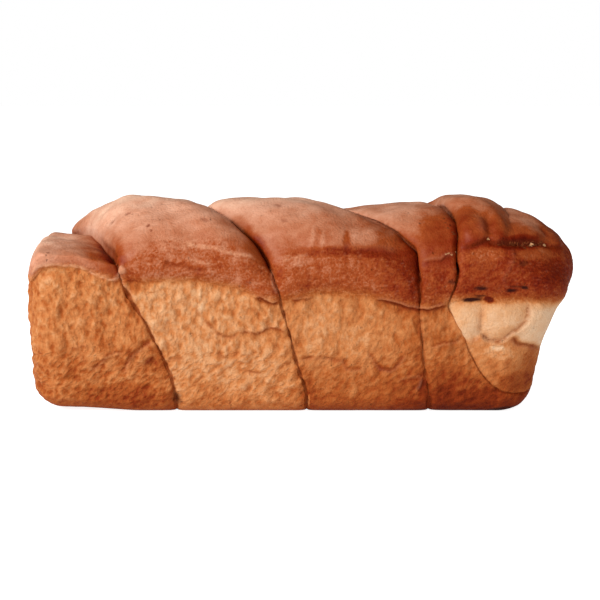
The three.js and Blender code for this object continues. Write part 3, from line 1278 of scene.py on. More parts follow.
class NodeSheet:
    """A node tree that is being filled."""

    def __init__(self, tree: bpy.types.NodeTree) -> None:
        """Starts from an empty tree."""
        self.tree = tree
        tree.nodes.clear()

    def add(self, kind: str, values: dict[str, object] | None = None, **settings: object) -> bpy.types.Node:
        """Adds a node.

        Args:
            kind: The node's type, without the ShaderNode that starts its name.
            values: Values or sources of its inputs, by name or number.
            **settings: The node's own settings.

        Returns:
            The node.
        """
        node = self.tree.nodes.new("ShaderNode" + kind)
        for name, value in settings.items():
            setattr(node, name, value)
        for name, value in (values or {}).items():
            if isinstance(value, bpy.types.NodeSocket):
                self.tree.links.new(value, node.inputs[name])
            else:
                node.inputs[name].default_value = value
        return node

    def math(self, operation: str, *values: object, clamp: bool = False) -> bpy.types.NodeSocket:
        """Adds a Math node and returns its output."""
        return self.add("Math", dict(enumerate(values)), operation=operation, use_clamp=clamp).outputs[0]

    def attribute(self, name: str) -> bpy.types.NodeSocket:
        """Adds a reader of a mesh attribute and returns its value."""
        return self.add("Attribute", attribute_name=name).outputs["Fac"]

    def blend(self, share: object, first: object, second: object) -> bpy.types.NodeSocket:
        """Adds a colour mix.

        Args:
            share: How much of the second colour there is.
            first: The first colour.
            second: The second colour.

        Returns:
            The mixed colour.
        """
        node = self.add("Mix", {"Factor": share}, data_type="RGBA")
        for socket, value in (("A", first), ("B", second)):
            target = next(i for i in node.inputs if i.name == socket and i.type == "RGBA")
            if isinstance(value, bpy.types.NodeSocket):
                self.tree.links.new(value, target)
            else:
                target.default_value = (*value, 1.0)
        return next(o for o in node.outputs if o.type == "RGBA")

    def ramp(self, share: object, stops: tuple[tuple[float, Colour], ...]) -> bpy.types.NodeSocket:
        """Adds a colour ramp.

        Args:
            share: Where the ramp is read.
            stops: Its places and colours.

        Returns:
            The colour.
        """
        node = self.add("ValToRGB", {"Fac": share})
        elements = node.color_ramp.elements
        while len(elements) < len(stops):
            elements.new(1.0)
        for element, (place, colour) in zip(elements, stops):
            element.position = place
            element.color = (*colour, 1.0)
        return node.outputs["Color"]


@dataclass(frozen=True)
class ShaderGroup:
    """A shader group, built once and placed with its own values.

    Its inputs are a Vector and a number for each field, which is named like the field.
    """

    name: ClassVar[str]

    @staticmethod
    def label(field_name: str) -> str:
        """Returns the name of the input for a field."""
        return field_name.replace("_", " ").capitalize()

    def build(self) -> bpy.types.ShaderNodeTree:
        """Builds the group, or finds it if it is there.

        Returns:
            The group.
        """
        found = bpy.data.node_groups.get(self.name)
        if found:
            return found
        group = bpy.data.node_groups.new(self.name, "ShaderNodeTree")
        new_socket = group.interface.new_socket
        new_socket(name="Vector", in_out="INPUT", socket_type="NodeSocketVector")
        for own in fields(self):
            label = self.label(own.name)
            number = new_socket(name=label, in_out="INPUT", socket_type="NodeSocketFloat")
            number.default_value = own.default
        sheet = NodeSheet(group)
        results = self.fill(sheet, group.nodes.new("NodeGroupInput").outputs)
        for name in results:
            new_socket(name=name, in_out="OUTPUT", socket_type="NodeSocketFloat")
        out = group.nodes.new("NodeGroupOutput").inputs
        for name, result in results.items():
            group.links.new(result, out[name])
        return group

    def fill(self, sheet: NodeSheet, given: Sockets) -> dict[str, bpy.types.NodeSocket]:
        """Adds the group's nodes.

        Args:
            sheet: The group's tree.
            given: The group's inputs.

        Returns:
            The group's outputs by name.
        """
        raise NotImplementedError

    def place(self, sheet: NodeSheet, vector: bpy.types.NodeSocket) -> Sockets:
        """Places the group with its values in a node tree.

        Args:
            sheet: The tree.
            vector: What the group reads as its Vector.

        Returns:
            The outputs of the group's node.
        """
        values = {self.label(own.name): getattr(self, own.name) for own in fields(self)}
        return sheet.add("Group", {"Vector": vector, **values}, node_tree=self.build()).outputs


@dataclass(frozen=True)
class Speckle(ShaderGroup):
    """Soft and fine noise, which breaks up a colour or makes a fine height.

    The outputs Soft and Fine vary round 0, and Pits is a mask of scattered small holes. A share of the
    cells is unpitted, and a pit's radius and slope are measured against its cell.
    """

    name: ClassVar[str] = "Crust speckle"
    unpitted: ClassVar[float] = 0.8
    pit_radius: ClassVar[float] = 0.16
    pit_slope: ClassVar[float] = 9.0
    soft_length: float = 0.006
    fine_length: float = 0.0012
    pit_length: float = 0.004

    def fill(self, sheet: NodeSheet, given: Sockets) -> dict[str, bpy.types.NodeSocket]:
        """Adds the group's nodes.

        Args:
            sheet: The group's tree.
            given: The group's inputs.

        Returns:
            The group's outputs by name.
        """
        results = {}
        for name, detail, rough in (("Soft", 3.0, 0.55), ("Fine", 2.0, 0.6)):
            scale = sheet.math("DIVIDE", 1.0, given[name + " length"])
            values = {"Vector": given["Vector"], "Scale": scale, "Detail": detail, "Roughness": rough}
            read = sheet.add("TexNoise", values).outputs["Fac"]
            results[name] = sheet.math("SUBTRACT", read, 0.5)
        scale = sheet.math("DIVIDE", 1.0, given["Pit length"])
        values = {"Vector": given["Vector"], "Scale": scale, "Randomness": 1.0}
        cells = sheet.add("TexVoronoi", values).outputs
        chance = sheet.add("SeparateColor", {0: cells["Color"]}).outputs[0]
        chosen = sheet.math("GREATER_THAN", chance, self.unpitted)
        hole = sheet.math("SUBTRACT", self.pit_radius, cells["Distance"])
        deep = sheet.math("MULTIPLY", hole, self.pit_slope, clamp=True)
        results["Pits"] = sheet.math("MULTIPLY", deep, chosen)
        return results


@dataclass(frozen=True)
class Puffs(ShaderGroup):
    """Small rounded lumps with valleys between them.

    The lumps lean by Slant up to the height Slant top and stand upright above. The outputs are their
    Height and a mask of the Valleys, each made from noise by a factor and an offset.
    """

    name: ClassVar[str] = "Crust puffs"
    height: ClassVar[Place] = (2.5, -0.75)
    valleys: ClassVar[Place] = (-7.0, 3.0)
    width: float = 0.003
    tall: float = 0.005
    slant: float = 0.0
    slant_top: float = 0.0

    def fill(self, sheet: NodeSheet, given: Sockets) -> dict[str, bpy.types.NodeSocket]:
        """Adds the group's nodes.

        Args:
            sheet: The group's tree.
            given: The group's inputs.

        Returns:
            The group's outputs by name.
        """
        x, y, z = sheet.add("SeparateXYZ", {0: given["Vector"]}).outputs
        lean = sheet.math("MULTIPLY", sheet.math("MINIMUM", z, given["Slant top"]), given["Slant"])
        across = sheet.math("DIVIDE", sheet.math("SUBTRACT", x, lean), given["Width"])
        back = sheet.math("DIVIDE", sheet.math("SUBTRACT", y, lean), given["Width"])
        up = sheet.math("DIVIDE", z, given["Tall"])
        place = sheet.add("CombineXYZ", {0: across, 1: back, 2: up}).outputs[0]
        values = {"Vector": place, "Scale": 1.0, "Detail": 1.0, "Roughness": 0.4}
        read = sheet.add("TexNoise", values).outputs["Fac"]
        return {
            "Height": sheet.math("MULTIPLY_ADD", read, *self.height, clamp=True),
            "Valleys": sheet.math("MULTIPLY_ADD", read, *self.valleys, clamp=True),
        }


@dataclass(frozen=True)
class Finish:
    """A finish, whose material has its name."""

    name: ClassVar[str]

    def build(self) -> bpy.types.Material:
        """Builds the material.

        Returns:
            The material.
        """
        material = bpy.data.materials.new(self.name)
        material.use_nodes = True
        sheet = NodeSheet(material.node_tree)
        sheet.add("OutputMaterial", {"Surface": self.shader(sheet).outputs["BSDF"]})
        return material

    def shader(self, sheet: NodeSheet) -> bpy.types.Node:
        """Adds the material's nodes.

        Args:
            sheet: The material's tree.

        Returns:
            Its Principled shader.
        """
        raise NotImplementedError


@dataclass(frozen=True)
class BakedCrust(Finish):
    """The crust: golden where the tin pressed it, redder and satin where it rose, darker as it browns.

    The fields that end in tone say how far a pattern shifts the browning, those that end in share how
    strongly a look shows, and those that end in height how high a pattern stands against the fine grain.
    relief is the bump's height in metres. rough_dull is how dull a torn crust is, and pressed_bare how
    much of its glaze the pressed crust has lost. The crevice colour is painted shade in creases, seams
    and pits, and the pale edge colour serves both pale marks of the crust and painted highlights on lit
    edges. The puff and valley tones are partly the blisters' own tint and partly painted highlight on
    their tops and painted shade in their valleys.
    """

    name: ClassVar[str] = "baked crust"
    pressed: tuple[tuple[float, Colour], ...] = (
        (0.0, (0.75, 0.49, 0.30)),
        (0.2, (0.645, 0.325, 0.150)),
        (0.4, (0.52, 0.186, 0.056)),
        (0.6, (0.365, 0.089, 0.016)),
        (0.8, (0.22, 0.030, 0.003)),
        (1.0, (0.10, 0.008, 0.001)),
    )
    risen: tuple[tuple[float, Colour], ...] = (
        (0.0, (0.84, 0.50, 0.34)),
        (0.2, (0.65, 0.310, 0.192)),
        (0.4, (0.47, 0.171, 0.085)),
        (0.6, (0.318, 0.060, 0.011)),
        (0.8, (0.195, 0.017, 0.001)),
        (1.0, (0.10, 0.004, 0.0005)),
    )
    # Painted shade in creases, seams and pits
    crevice: Colour = (0.160, 0.018, 0.0012)
    # Colour of pale marks of the crust, and of painted highlights on lit edges
    pale_edge: Colour = (0.80, 0.42, 0.24)
    char: Colour = (0.030, 0.003, 0.001)
    speckle: Speckle = Speckle(0.0055, 0.0014, 0.0060)
    puff: Puffs = Puffs(0.0030, 0.0044, 0.6, 0.038)
    soft_tone: float = 0.24
    fine_tone: float = 0.14
    rough_tone: float = 0.28
    # Puff tops lighter and valleys darker: partly their own tint, partly painted highlight and painted
    # shade
    puff_tone: float = -0.20
    valley_tone: float = 0.05
    wall_tone: float = 0.085
    light_share: float = 0.55
    pit_share: float = 0.6
    crease_share: float = 0.88
    soft_height: float = 0.7
    puff_height: float = 1.2
    relief: float = 0.0008
    relief_strength: float = 0.9
    rough_dull: float = 0.7
    pressed_bare: float = 0.5
    satin: float = 0.45
    matte: float = 0.70
    glaze: float = 0.34
    glaze_roughness: float = 0.36
    shine: float = 0.07

    def shader(self, sheet: NodeSheet) -> bpy.types.Node:
        """Adds the material's nodes.

        Args:
            sheet: The material's tree.

        Returns:
            Its Principled shader.
        """
        place = sheet.add("TexCoord").outputs["Object"]
        speckle = self.speckle.place(sheet, place)
        puff = self.puff.place(sheet, place)
        looks = ("rough", "pressed", "puffs", "crease")
        rough, pressed, puffs, crease = (sheet.attribute(look) for look in looks)

        soft = sheet.math("MULTIPLY", speckle["Soft"], self.soft_tone)
        grainy = sheet.math("MULTIPLY_ADD", rough, self.rough_tone, self.fine_tone)
        fine = sheet.math("MULTIPLY", speckle["Fine"], grainy)
        # Puffs lighter on their tops and darker in their valleys: partly their own tint, partly painted
        # highlight and painted shade
        swing = sheet.math("MULTIPLY_ADD", puff["Height"], self.puff_tone, self.wall_tone)
        swing = sheet.math("MULTIPLY_ADD", puff["Valleys"], self.valley_tone, swing)
        swing = sheet.math("MULTIPLY", swing, puffs)
        level = sheet.math("ADD", sheet.attribute("bake"), swing)
        level = sheet.math("ADD", level, sheet.math("ADD", soft, fine))
        colour = sheet.blend(pressed, sheet.ramp(level, self.risen), sheet.ramp(level, self.pressed))
        # Pale marks of the crust, and painted highlights on the lit edges of creases and folds
        light = sheet.math("MULTIPLY", sheet.attribute("light"), self.light_share)
        colour = sheet.blend(light, colour, self.pale_edge)
        # Painted shade: creases, seams and pits are darkened towards the crevice shade colour
        pit = sheet.math("MULTIPLY", sheet.math("MULTIPLY", speckle["Pits"], level), self.pit_share)
        dark = sheet.math("MAXIMUM", sheet.math("MULTIPLY", crease, self.crease_share), pit)
        colour = sheet.blend(dark, colour, self.crevice)
        colour = sheet.blend(sheet.attribute("scorch"), colour, self.char)

        height = sheet.math("MULTIPLY_ADD", speckle["Soft"], self.soft_height, speckle["Fine"])
        lumps = sheet.math("MULTIPLY", puff["Height"], puffs)
        height = sheet.math("MULTIPLY_ADD", lumps, self.puff_height, height)
        height = sheet.math("SUBTRACT", height, speckle["Pits"])
        values = {"Height": height, "Strength": self.relief_strength, "Distance": self.relief}
        normal = sheet.add("Bump", values).outputs["Normal"]
        dull = sheet.math("MAXIMUM", sheet.math("MULTIPLY", rough, self.rough_dull), crease)
        bare = sheet.math("MAXIMUM", dull, sheet.math("MULTIPLY", pressed, self.pressed_bare))
        dull = sheet.math("MAXIMUM", dull, pressed)
        gloss = sheet.math("MULTIPLY_ADD", dull, self.matte - self.satin, self.satin)
        fresh = sheet.math("MULTIPLY_ADD", level, -self.glaze, self.glaze)
        glaze = sheet.math("MULTIPLY", sheet.math("SUBTRACT", 1.0, bare), fresh)
        values = {"Base Color": colour, "Roughness": gloss, "Normal": normal, "Coat Weight": glaze}
        shader = sheet.add("BsdfPrincipled", values)
        shader.inputs["Coat Roughness"].default_value = self.glaze_roughness
        shader.inputs["Specular IOR Level"].default_value = self.shine
        return shader


@dataclass(frozen=True)
class TornCrumb(Finish):
    """The ragged bits along a tear: pale crumb with browned edges. relief is its bump in metres."""

    name: ClassVar[str] = "torn crumb"
    pale: Colour = (0.66, 0.36, 0.17)
    brown: Colour = (0.15, 0.030, 0.007)
    speckle: Speckle = Speckle(0.0022, 0.0007, 0.0015)
    relief: float = 0.0004
    relief_strength: float = 0.6
    roughness: float = 0.8
    shine: float = 0.1

    def shader(self, sheet: NodeSheet) -> bpy.types.Node:
        """Adds the material's nodes.

        Args:
            sheet: The material's tree.

        Returns:
            Its Principled shader.
        """
        speckle = self.speckle.place(sheet, sheet.add("TexCoord").outputs["Object"])
        brown = sheet.math("ADD", sheet.attribute("browned"), speckle["Soft"], clamp=True)
        colour = sheet.blend(brown, self.pale, self.brown)
        height = sheet.math("SUBTRACT", speckle["Fine"], speckle["Pits"])
        values = {"Height": height, "Strength": self.relief_strength, "Distance": self.relief}
        normal = sheet.add("Bump", values).outputs["Normal"]
        values = {"Base Color": colour, "Roughness": self.roughness, "Normal": normal}
        shader = sheet.add("BsdfPrincipled", values)
        shader.inputs["Specular IOR Level"].default_value = self.shine
        return shader


@dataclass(frozen=True)
class PaleBoard(Finish):
    """The plain pale studio floor, which glows a little and more where the camera sees it."""

    name: ClassVar[str] = "pale board"
    colour: Colour = (0.80, 0.80, 0.80)
    roughness: float = 0.9
    glow: float = 0.25
    seen_glow: float = 0.88
    shine: float = 0.1

    def shader(self, sheet: NodeSheet) -> bpy.types.Node:
        """Adds the material's nodes.

        Args:
            sheet: The material's tree.

        Returns:
            Its Principled shader.
        """
        seen = sheet.add("LightPath").outputs["Is Camera Ray"]
        glow = sheet.math("MULTIPLY_ADD", seen, self.seen_glow - self.glow, self.glow)
        values = {"Base Color": (*self.colour, 1.0), "Roughness": self.roughness, "Emission Strength": glow}
        shader = sheet.add("BsdfPrincipled", values)
        shader.inputs["Emission Color"].default_value = (*WHITE, 1.0)
        shader.inputs["Specular IOR Level"].default_value = self.shine
        return shader


# ------------------------------------------------------------
# Pieces
# ------------------------------------------------------------


def new_piece(name: str, mesh: bpy.types.Mesh, material: bpy.types.Material) -> bpy.types.Object:
    """Puts a mesh into the scene as a smooth piece.

    Args:
        name: Name of the piece.
        mesh: Its mesh, with its place in its vertices.
        material: Its finish.

    Returns:
        The object.
    """
    mesh.materials.append(material)
    mesh.shade_smooth()
    piece = bpy.data.objects.new(name, mesh)
    bpy.context.scene.collection.objects.link(piece)
    return piece


@dataclass
class TwistedLoaf:
    """The loaf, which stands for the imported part's one node."""

    form: TwistedForm
    lines: tuple[CrustLine, ...]
    spots: tuple[CrustSpot, ...]
    band_top: tuple[Place, ...]
    pale_edge: tuple[Place, ...]
    finish: BakedCrust = BakedCrust()
    node: str = "loaf"
    slot: str = "crust"

    def build(self) -> bpy.types.Object:
        """Shapes a sphere of rings and columns into the loaf and dresses it.

        Returns:
            The piece.
        """
        skin = self.form.skin()
        rings, columns = skin.share.shape
        mesh = bpy.data.meshes.new(self.node)
        bm = bmesh.new()
        bmesh.ops.create_uvsphere(bm, u_segments=columns, v_segments=rings - 1, radius=1.0)
        bm.to_mesh(mesh)
        bm.free()
        ring, column = self.grid_places(mesh, rings, columns)

        skin.points[..., :2] -= FORM_MIDDLE
        self.move(mesh, skin.points[ring, column])
        normals = np.zeros_like(skin.points)
        normals[ring, column] = self.vectors(mesh.vertex_normals, "vector")
        relief = CrustRelief(skin, normals, self.band_top, self.pale_edge)
        relief.seams()
        relief.wall()
        relief.band()
        relief.bleach()
        for line in self.lines:
            relief.line(line)
        for spot in self.spots:
            relief.spot(spot)
        self.move(mesh, relief.finish()[ring, column])
        self.dress(mesh, relief.look, ring, column)
        piece = new_piece("twisted_loaf", mesh, self.finish.build())
        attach(piece, "root")
        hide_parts(self.node)
        return piece

    def grid_places(self, mesh: bpy.types.Mesh, rings: int, columns: int) -> tuple[Array, Array]:
        """Finds the ring and the column of each vertex of the sphere.

        Args:
            mesh: The sphere, whose upper pole becomes the loaf's left end.
            rings: How many rings there are, poles among them.
            columns: How many columns there are.

        Returns:
            The ring and the column of each vertex.
        """
        x, y, z = self.vectors(mesh.vertices, "co").T
        ring = np.rint(np.arccos(np.clip(z, -1, 1)) / math.pi * (rings - 1)).astype(int)
        turn = (np.arctan2(y, x) - math.pi) / (2 * math.pi)
        # the sphere's columns lie on whole or half steps, and a quarter step more is clear of both
        column = np.floor(turn * columns + 0.25).astype(int) % columns
        return ring, column

    @staticmethod
    def move(mesh: bpy.types.Mesh, points: Array) -> None:
        """Moves the mesh's vertices to points in millimetres."""
        mesh.vertices.foreach_set("co", (points * MM).ravel())
        mesh.update()

    @staticmethod
    def vectors(items: bpy.types.bpy_prop_collection, name: str) -> Array:
        """Reads a vector of each item.

        Args:
            items: The mesh's vertices or vertex normals.
            name: What is read of them.

        Returns:
            The vectors, one in each row.
        """
        values = np.empty(len(items) * 3)
        items.foreach_get(name, values)
        return values.reshape(-1, 3)

    @staticmethod
    def dress(mesh: bpy.types.Mesh, look: CrustLook, ring: Array, column: Array) -> None:
        """Writes the looks that the finish reads onto the mesh.

        Args:
            mesh: The mesh.
            look: The looks over rings and columns.
            ring: Ring of each vertex.
            column: Column of each vertex.
        """
        for name in SHOWN_LOOKS:
            attribute = mesh.attributes.new(name, "FLOAT", "POINT")
            attribute.data.foreach_set("value", getattr(look, name)[ring, column].astype(np.float32))


@dataclass(frozen=True)
class Tear:
    """A line of torn bits on the front.

    It has a path in X and Z, a number of bits, their least and greatest length, how far they stray from
    the path, and how brown they are at least and at most.
    """

    path: tuple[Place, ...]
    count: int
    length: Place
    spread: float
    browned: Place


@dataclass
class TornFlakes:
    """Small ragged bits of crumb and crust that stand in the tears.

    A bit is a ball with a ragged bulge and stain. Its width and thickness are shares of its length, it
    tilts by a random angle in radians and is sunk by a share of its length.
    """

    tears: tuple[Tear, ...]
    finish: TornCrumb = TornCrumb()
    slot: str = "crust"
    bulge: float = 0.55
    stain: float = 0.3
    width: Place = (0.3, 0.6)
    thickness: Place = (0.15, 0.35)
    tilt: float = 0.5
    sunk: float = 0.105
    in_front: float = 0.1

    def build(self, loaf: bpy.types.Object) -> bpy.types.Object:
        """Makes the bits, sets them into the loaf's crust and joins them.

        Args:
            loaf: The finished loaf.

        Returns:
            The piece.
        """
        rng = np.random.default_rng(SEED)
        bm = bmesh.new()
        browned = bm.verts.layers.float.new("browned")
        corners = [vertex.co for vertex in loaf.data.vertices]
        loaf_tree = BVHTree.FromPolygons(corners, [tuple(face.vertices) for face in loaf.data.polygons])
        for tear in self.tears:
            for _ in range(tear.count):
                self.flake(bm, browned, loaf_tree, tear, rng)
        mesh = bpy.data.meshes.new("torn_flakes")
        bm.to_mesh(mesh)
        bm.free()
        piece = new_piece("torn_flakes", mesh, self.finish.build())
        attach(piece, "root")
        return piece

    def flake(
        self,
        bm: bmesh.types.BMesh,
        browned: bmesh.types.BMLayerItem,
        loaf_tree: BVHTree,
        tear: Tear,
        rng: np.random.Generator,
    ) -> None:
        """Adds one ragged bit.

        Args:
            bm: The mesh that is being filled.
            browned: Its layer that says how brown a vertex is.
            loaf_tree: The loaf's surface.
            tear: The tear that the bit stands in.
            rng: The source of chance.
        """
        path = np.array(tear.path)
        at = rng.uniform(0, len(path) - 1)
        k = min(int(at), len(path) - 2)
        x, z = mix(path[k], path[k + 1], at - k) + rng.normal(0, tear.spread, 2)
        hit, normal, _, _ = loaf_tree.ray_cast(Vector((x * MM, -self.in_front, z * MM)), Vector((0, 1, 0)))
        if hit is None:
            return
        made = bmesh.ops.create_icosphere(bm, subdivisions=2, radius=1.0)["verts"]
        seed = rng.uniform(0, 99)
        tone = rng.uniform(*tear.browned)
        for vert in made:
            bulge = 1 + self.bulge * noise.noise(vert.co * 1.3 + Vector((seed, 0, 0)))
            vert[browned] = tone + self.stain * noise.noise(vert.co * 2 + Vector((0, seed, 0)))
            vert.co *= bulge
        length = rng.uniform(*tear.length) * MM
        width = length * rng.uniform(*self.width)
        size = Matrix.Diagonal((length, width, length * rng.uniform(*self.thickness), 1))
        tilt = Euler(rng.normal(0, self.tilt, 3).tolist()).to_matrix().to_4x4()
        facing = normal.to_track_quat("Z", "Y").to_matrix().to_4x4()
        spot = Matrix.Translation(hit - normal * length * self.sunk)
        bmesh.ops.transform(bm, matrix=spot @ facing @ tilt @ size, verts=made)


# ------------------------------------------------------------
# Studio
# ------------------------------------------------------------


@dataclass(frozen=True)
class SoftBox:
    """A square soft light: name, place, what it looks at, width and power."""

    name: str
    place: Point
    aim: Point
    width: float
    power: float

    def build(self) -> bpy.types.Object:
        """Builds the light.

        Returns:
            The light's object.
        """
        data = bpy.data.lights.new(self.name, "AREA")
        data.shape = "SQUARE"
        data.size = self.width
        data.energy = self.power
        light = bpy.data.objects.new(self.name, data)
        light.location = self.place
        light.rotation_euler = (Vector(self.aim) - Vector(self.place)).to_track_quat("-Z", "Y").to_euler()
        bpy.context.scene.collection.objects.link(light)
        return light


@dataclass(frozen=True)
class Studio:
    """A plain pale floor, soft light from the upper left and a camera just above the front.

    Lengths are in metres, the camera's elevation in degrees, and its lens and sensor in millimetres.
    backdrop, ambient and mirrored are how bright the air is for the camera, on the loaf and in its gloss.
    """

    aim: Point = (-0.0014, 0.0, 0.0619)
    distance: float = 1.1
    elevation: float = 8.0
    lens: float = 105.5
    sensor: float = 36.0
    view_end: float = 60.0
    floor_width: float = 12.0
    ambient: float = 0.36
    mirrored: float = 0.04
    backdrop: float = 1.0
    boxes: tuple[SoftBox, ...] = (
        SoftBox("key", (-1.25, -0.95, 1.05), (0.0, 0.0, 0.06), 0.9, 34.0),
        SoftBox("fill", (0.7, -1.4, 0.6), (0.0, 0.0, 0.06), 1.2, 5.0),
    )

    def build(self) -> None:
        """Builds the floor, the lights, the surroundings and the camera."""
        self.floor()
        for box in self.boxes:
            box.build()
        self.surroundings()
        self.camera()
        bpy.context.scene.view_settings.view_transform = "Standard"

    def floor(self) -> None:
        """Lays the floor."""
        mesh = bpy.data.meshes.new("floor")
        bm = bmesh.new()
        bmesh.ops.create_grid(bm, x_segments=1, y_segments=1, size=self.floor_width / 2)
        bm.to_mesh(mesh)
        bm.free()
        new_piece("floor", mesh, PaleBoard().build())

    def surroundings(self) -> None:
        """Makes the air bright: soft light on the loaf, dim in its gloss, and a white ground behind it."""
        world = bpy.data.worlds.new("studio")
        world.use_nodes = True
        bpy.context.scene.world = world
        sheet = NodeSheet(world.node_tree)
        rays = sheet.add("LightPath").outputs
        seen, mirrored = self.backdrop - self.ambient, self.mirrored - self.ambient
        strength = sheet.math("MULTIPLY_ADD", rays["Is Camera Ray"], seen, self.ambient)
        strength = sheet.math("MULTIPLY_ADD", rays["Is Glossy Ray"], mirrored, strength)
        air = sheet.add("Background", {"Strength": strength})
        air.inputs["Color"].default_value = (*WHITE, 1.0)
        sheet.add("OutputWorld", {"Surface": air.outputs["Background"]})

    def camera(self) -> None:
        """Sets up the camera."""
        data = bpy.data.cameras.new("camera")
        data.lens = self.lens
        data.sensor_width = self.sensor
        data.clip_end = self.view_end
        camera = bpy.data.objects.new("camera", data)
        up = math.radians(self.elevation)
        back = Vector((0.0, -math.cos(up), math.sin(up)))
        camera.location = Vector(self.aim) + back * self.distance
        camera.rotation_euler = (-back).to_track_quat("-Z", "Y").to_euler()
        bpy.context.scene.collection.objects.link(camera)
        bpy.context.scene.camera = camera


# ------------------------------------------------------------
# This loaf
# ------------------------------------------------------------

SEAMS = (
    Seam(
        front=(-75, -76, -79.3, -90.7, -106.3, -109.2, -110.8, -116, -130),
        back=(-148.4, -155, -160, -176),
        valley=102.5,
        depth=(1, 0.45),
        fall=(0.6, 0.6),
        rise=(0.55, 0.7),
        cut=(0.45, 0.5, 1.0, 1.0, 0.5),
        shade=(0.7, 0.3, 1.0, 0.9, 0.3),
        flank=(0.08, 0.60, 0.86, 0.80, 0.4),
        cut_width=(0.7, 1.2),
        flank_width=20.0,
        far_flank=0.26,
        lip=0.6,
    ),
    Seam(
        front=(3.7, 2.7, 0, -6, -11.7, -15.5, -21, -31, -55),
        back=(-69, -81, -91, -112),
        valley=116,
        depth=(1, 1.1),
        fall=(0.55, 0.7),
        rise=(0.5, 0.6),
        cut=(0.45, 0.3, 0.9, 1.0, 0.3),
        shade=(0.8, 0.0, 0.95, 0.95, 0.3),
        flank=(0.17, 0.14, 0.46, 0.58, 0.10),
        cut_width=(0.55, 1.1),
        flank_width=11.0,
        far_flank=0.6,
    ),
    Seam(
        front=(77.6, 76.9, 75.4, 72.6, 71.0, 70.6, 71.8, 62.2, 32),
        back=(14, 0, -9, -34),
        valley=116,
        depth=(1, 0.55),
        fall=(0.9, 0.95),
        rise=(0.5, 0.6),
        cut=(0.35, 0.7, 1.0, 1.0, 0.3),
        shade=(0.46, 0.8, 1.0, 0.8, 0.2),
        flank=(0.12, 0.16, 0.36, 0.26, 0.02),
        cut_width=(1.3, 0.8),
        flank_width=13.0,
    ),
    Seam(
        front=(156, 145.5, 130.8, 106.2, 89.3, 92.3, 94.2, 97.4, 89),
        back=(74, 60, 54, 32),
        valley=115.6,
        depth=(0.6, 1),
        fall=(0.7, 0.8),
        rise=(0.5, 0.55),
        cut=(0.28, 0.5, 0.8, 1.5, 1.2),
        shade=(0.34, 0.6, 0.9, 0.9, 0.6),
        flank=(0.05, 0.04, 0.12, 0.80, 0.20),
        cut_width=(0.6, 0.9),
        flank_width=10.0,
        far_flank=0.25,
        foot_notch=0.0,
        edge=186,
    ),
    Seam(
        front=(202, 200, 196, 182, 150, 131, 126, 124.8, 124.8),
        back=(123, 118, 110, 90),
        valley=121.3,
        depth=(0, 0),
        fall=(0.9, 1.0),
        rise=(0.9, 0.9),
        cut=(0.0, 0.0, 0.0, 0.0, 0.4),
        shade=(0.0, 0.0, 0.0, 0.0, 0.35),
        flank=(0.0, 0.0, 0.0, 0.04, 0.1),
        foot_notch=0.0,
        lip=0.0,
    ),
)

TURNS = (
    Turn(102.2, 0.5, 72, Bake(0.53, 0.495, 0.46, 0.44, 0.39, 0.24, 0.03, dusk=0.12, fall=-0.01)),
    Turn(127, 0.56, 80, Bake(0.40, 0.335, 0.33, 0.54, 0.56, 0.40, 0.04, dusk=0.06), 0.9),
    Turn(126.3, 0.38, 76, Bake(0.60, 0.39, 0.42, 0.58, 0.60, 0.49, 0.05, dusk=0.18, fall=0.12), 0.68),
    Turn(122.5, 0.7, 44, Bake(0.82, 0.57, 0.55, 0.68, 0.73, 0.71, 0.28, fall=-0.10), 0.64),
    Turn(128.3, 0.36, 44, Bake(0.60, 0.43, 0.36, 0.60, 0.75, 0.67, 0.33, dusk=0.03), 0.42),
    Turn(123.8, 0.5, 48, Bake(0.60, 0.48, 0.40, 0.62, 0.76, 0.68, 0.38), 0.42),
)

LEFT_END = LoafEnd(
    side=Side.LEFT,
    x=-164.6,
    wall_depth=19,
    dome_depth=10,
    wall_round=0.33,
    dome_round=0.28,
    heights=(0, 20, 35, 50, 60, 75, 87, 96, 103, 130),
    leans=(3, 1.9, 1.4, 0.4, 0.8, 0.7, 1.2, 1.2, 0, 0),
    toe=2.4,
)
RIGHT_END = LoafEnd(
    side=Side.RIGHT,
    x=168.1,
    wall_depth=24,
    dome_depth=60,
    wall_round=0.36,
    dome_round=0.62,
    heights=(0, 14, 24, 40, 52, 62, 72, 82, 94, 106, 130),
    leans=(25.2, 25.9, 25.2, 22.2, 17.6, 13.2, 6.0, 0.3, -2.4, 0.0, -0.4),
)

# Height of the rim line along X
FRONT_RIM = (
    (-165, 84), (-157, 88), (-149, 89), (-135, 89), (-127, 86.5), (-113, 82), (-94, 80),
    (-70, 81), (-49, 78.8), (-36, 75.8), (-21, 69), (-14, 68.5), (-2, 70.2), (10, 73.5),
    (32, 72.8), (54, 68.6), (70, 65.3), (86, 66.8), (93, 69), (160, 68.6),
)
BACK_RIM = (
    (-165, 84), (-150, 82), (-138, 76), (-110, 73), (-85, 70), (-60, 72), (-20, 71),
    (10, 69), (50, 71), (100, 69), (160, 68.6),
)

LUMPS = (
    Lumps(61, 0.9, (1, 0.6, 0), (0, 0.8, -1)),
    Lumps(34, 0.5, (1, 0.6, 0.2), (0.3, 0.8, -1)),
    Lumps(27, 0.4, (0.7, -1, 0), (0.3, 0, 1)),
)

# Where the rough band ends above the waist, along X
BAND_TOP = (
    (-165, -8), (-112, -8), (-100, 8), (-85, 22), (-50, 24), (-30, 13), (-15, 13), (-5, 19),
    (20, 21), (60, 18), (70, 11), (90, 13), (96, 22), (170, 22),
)

# Lower edge of the pale crust in X and Z
PALE_EDGE = (
    (86, 50), (98.2, 45.2), (106.3, 47.5), (108, 45.2), (116, 43), (120.6, 44),
    (124.5, 47.8), (126.5, 47.8), (130, 42.6), (138, 40.3), (146, 36.5), (160, 33),
)

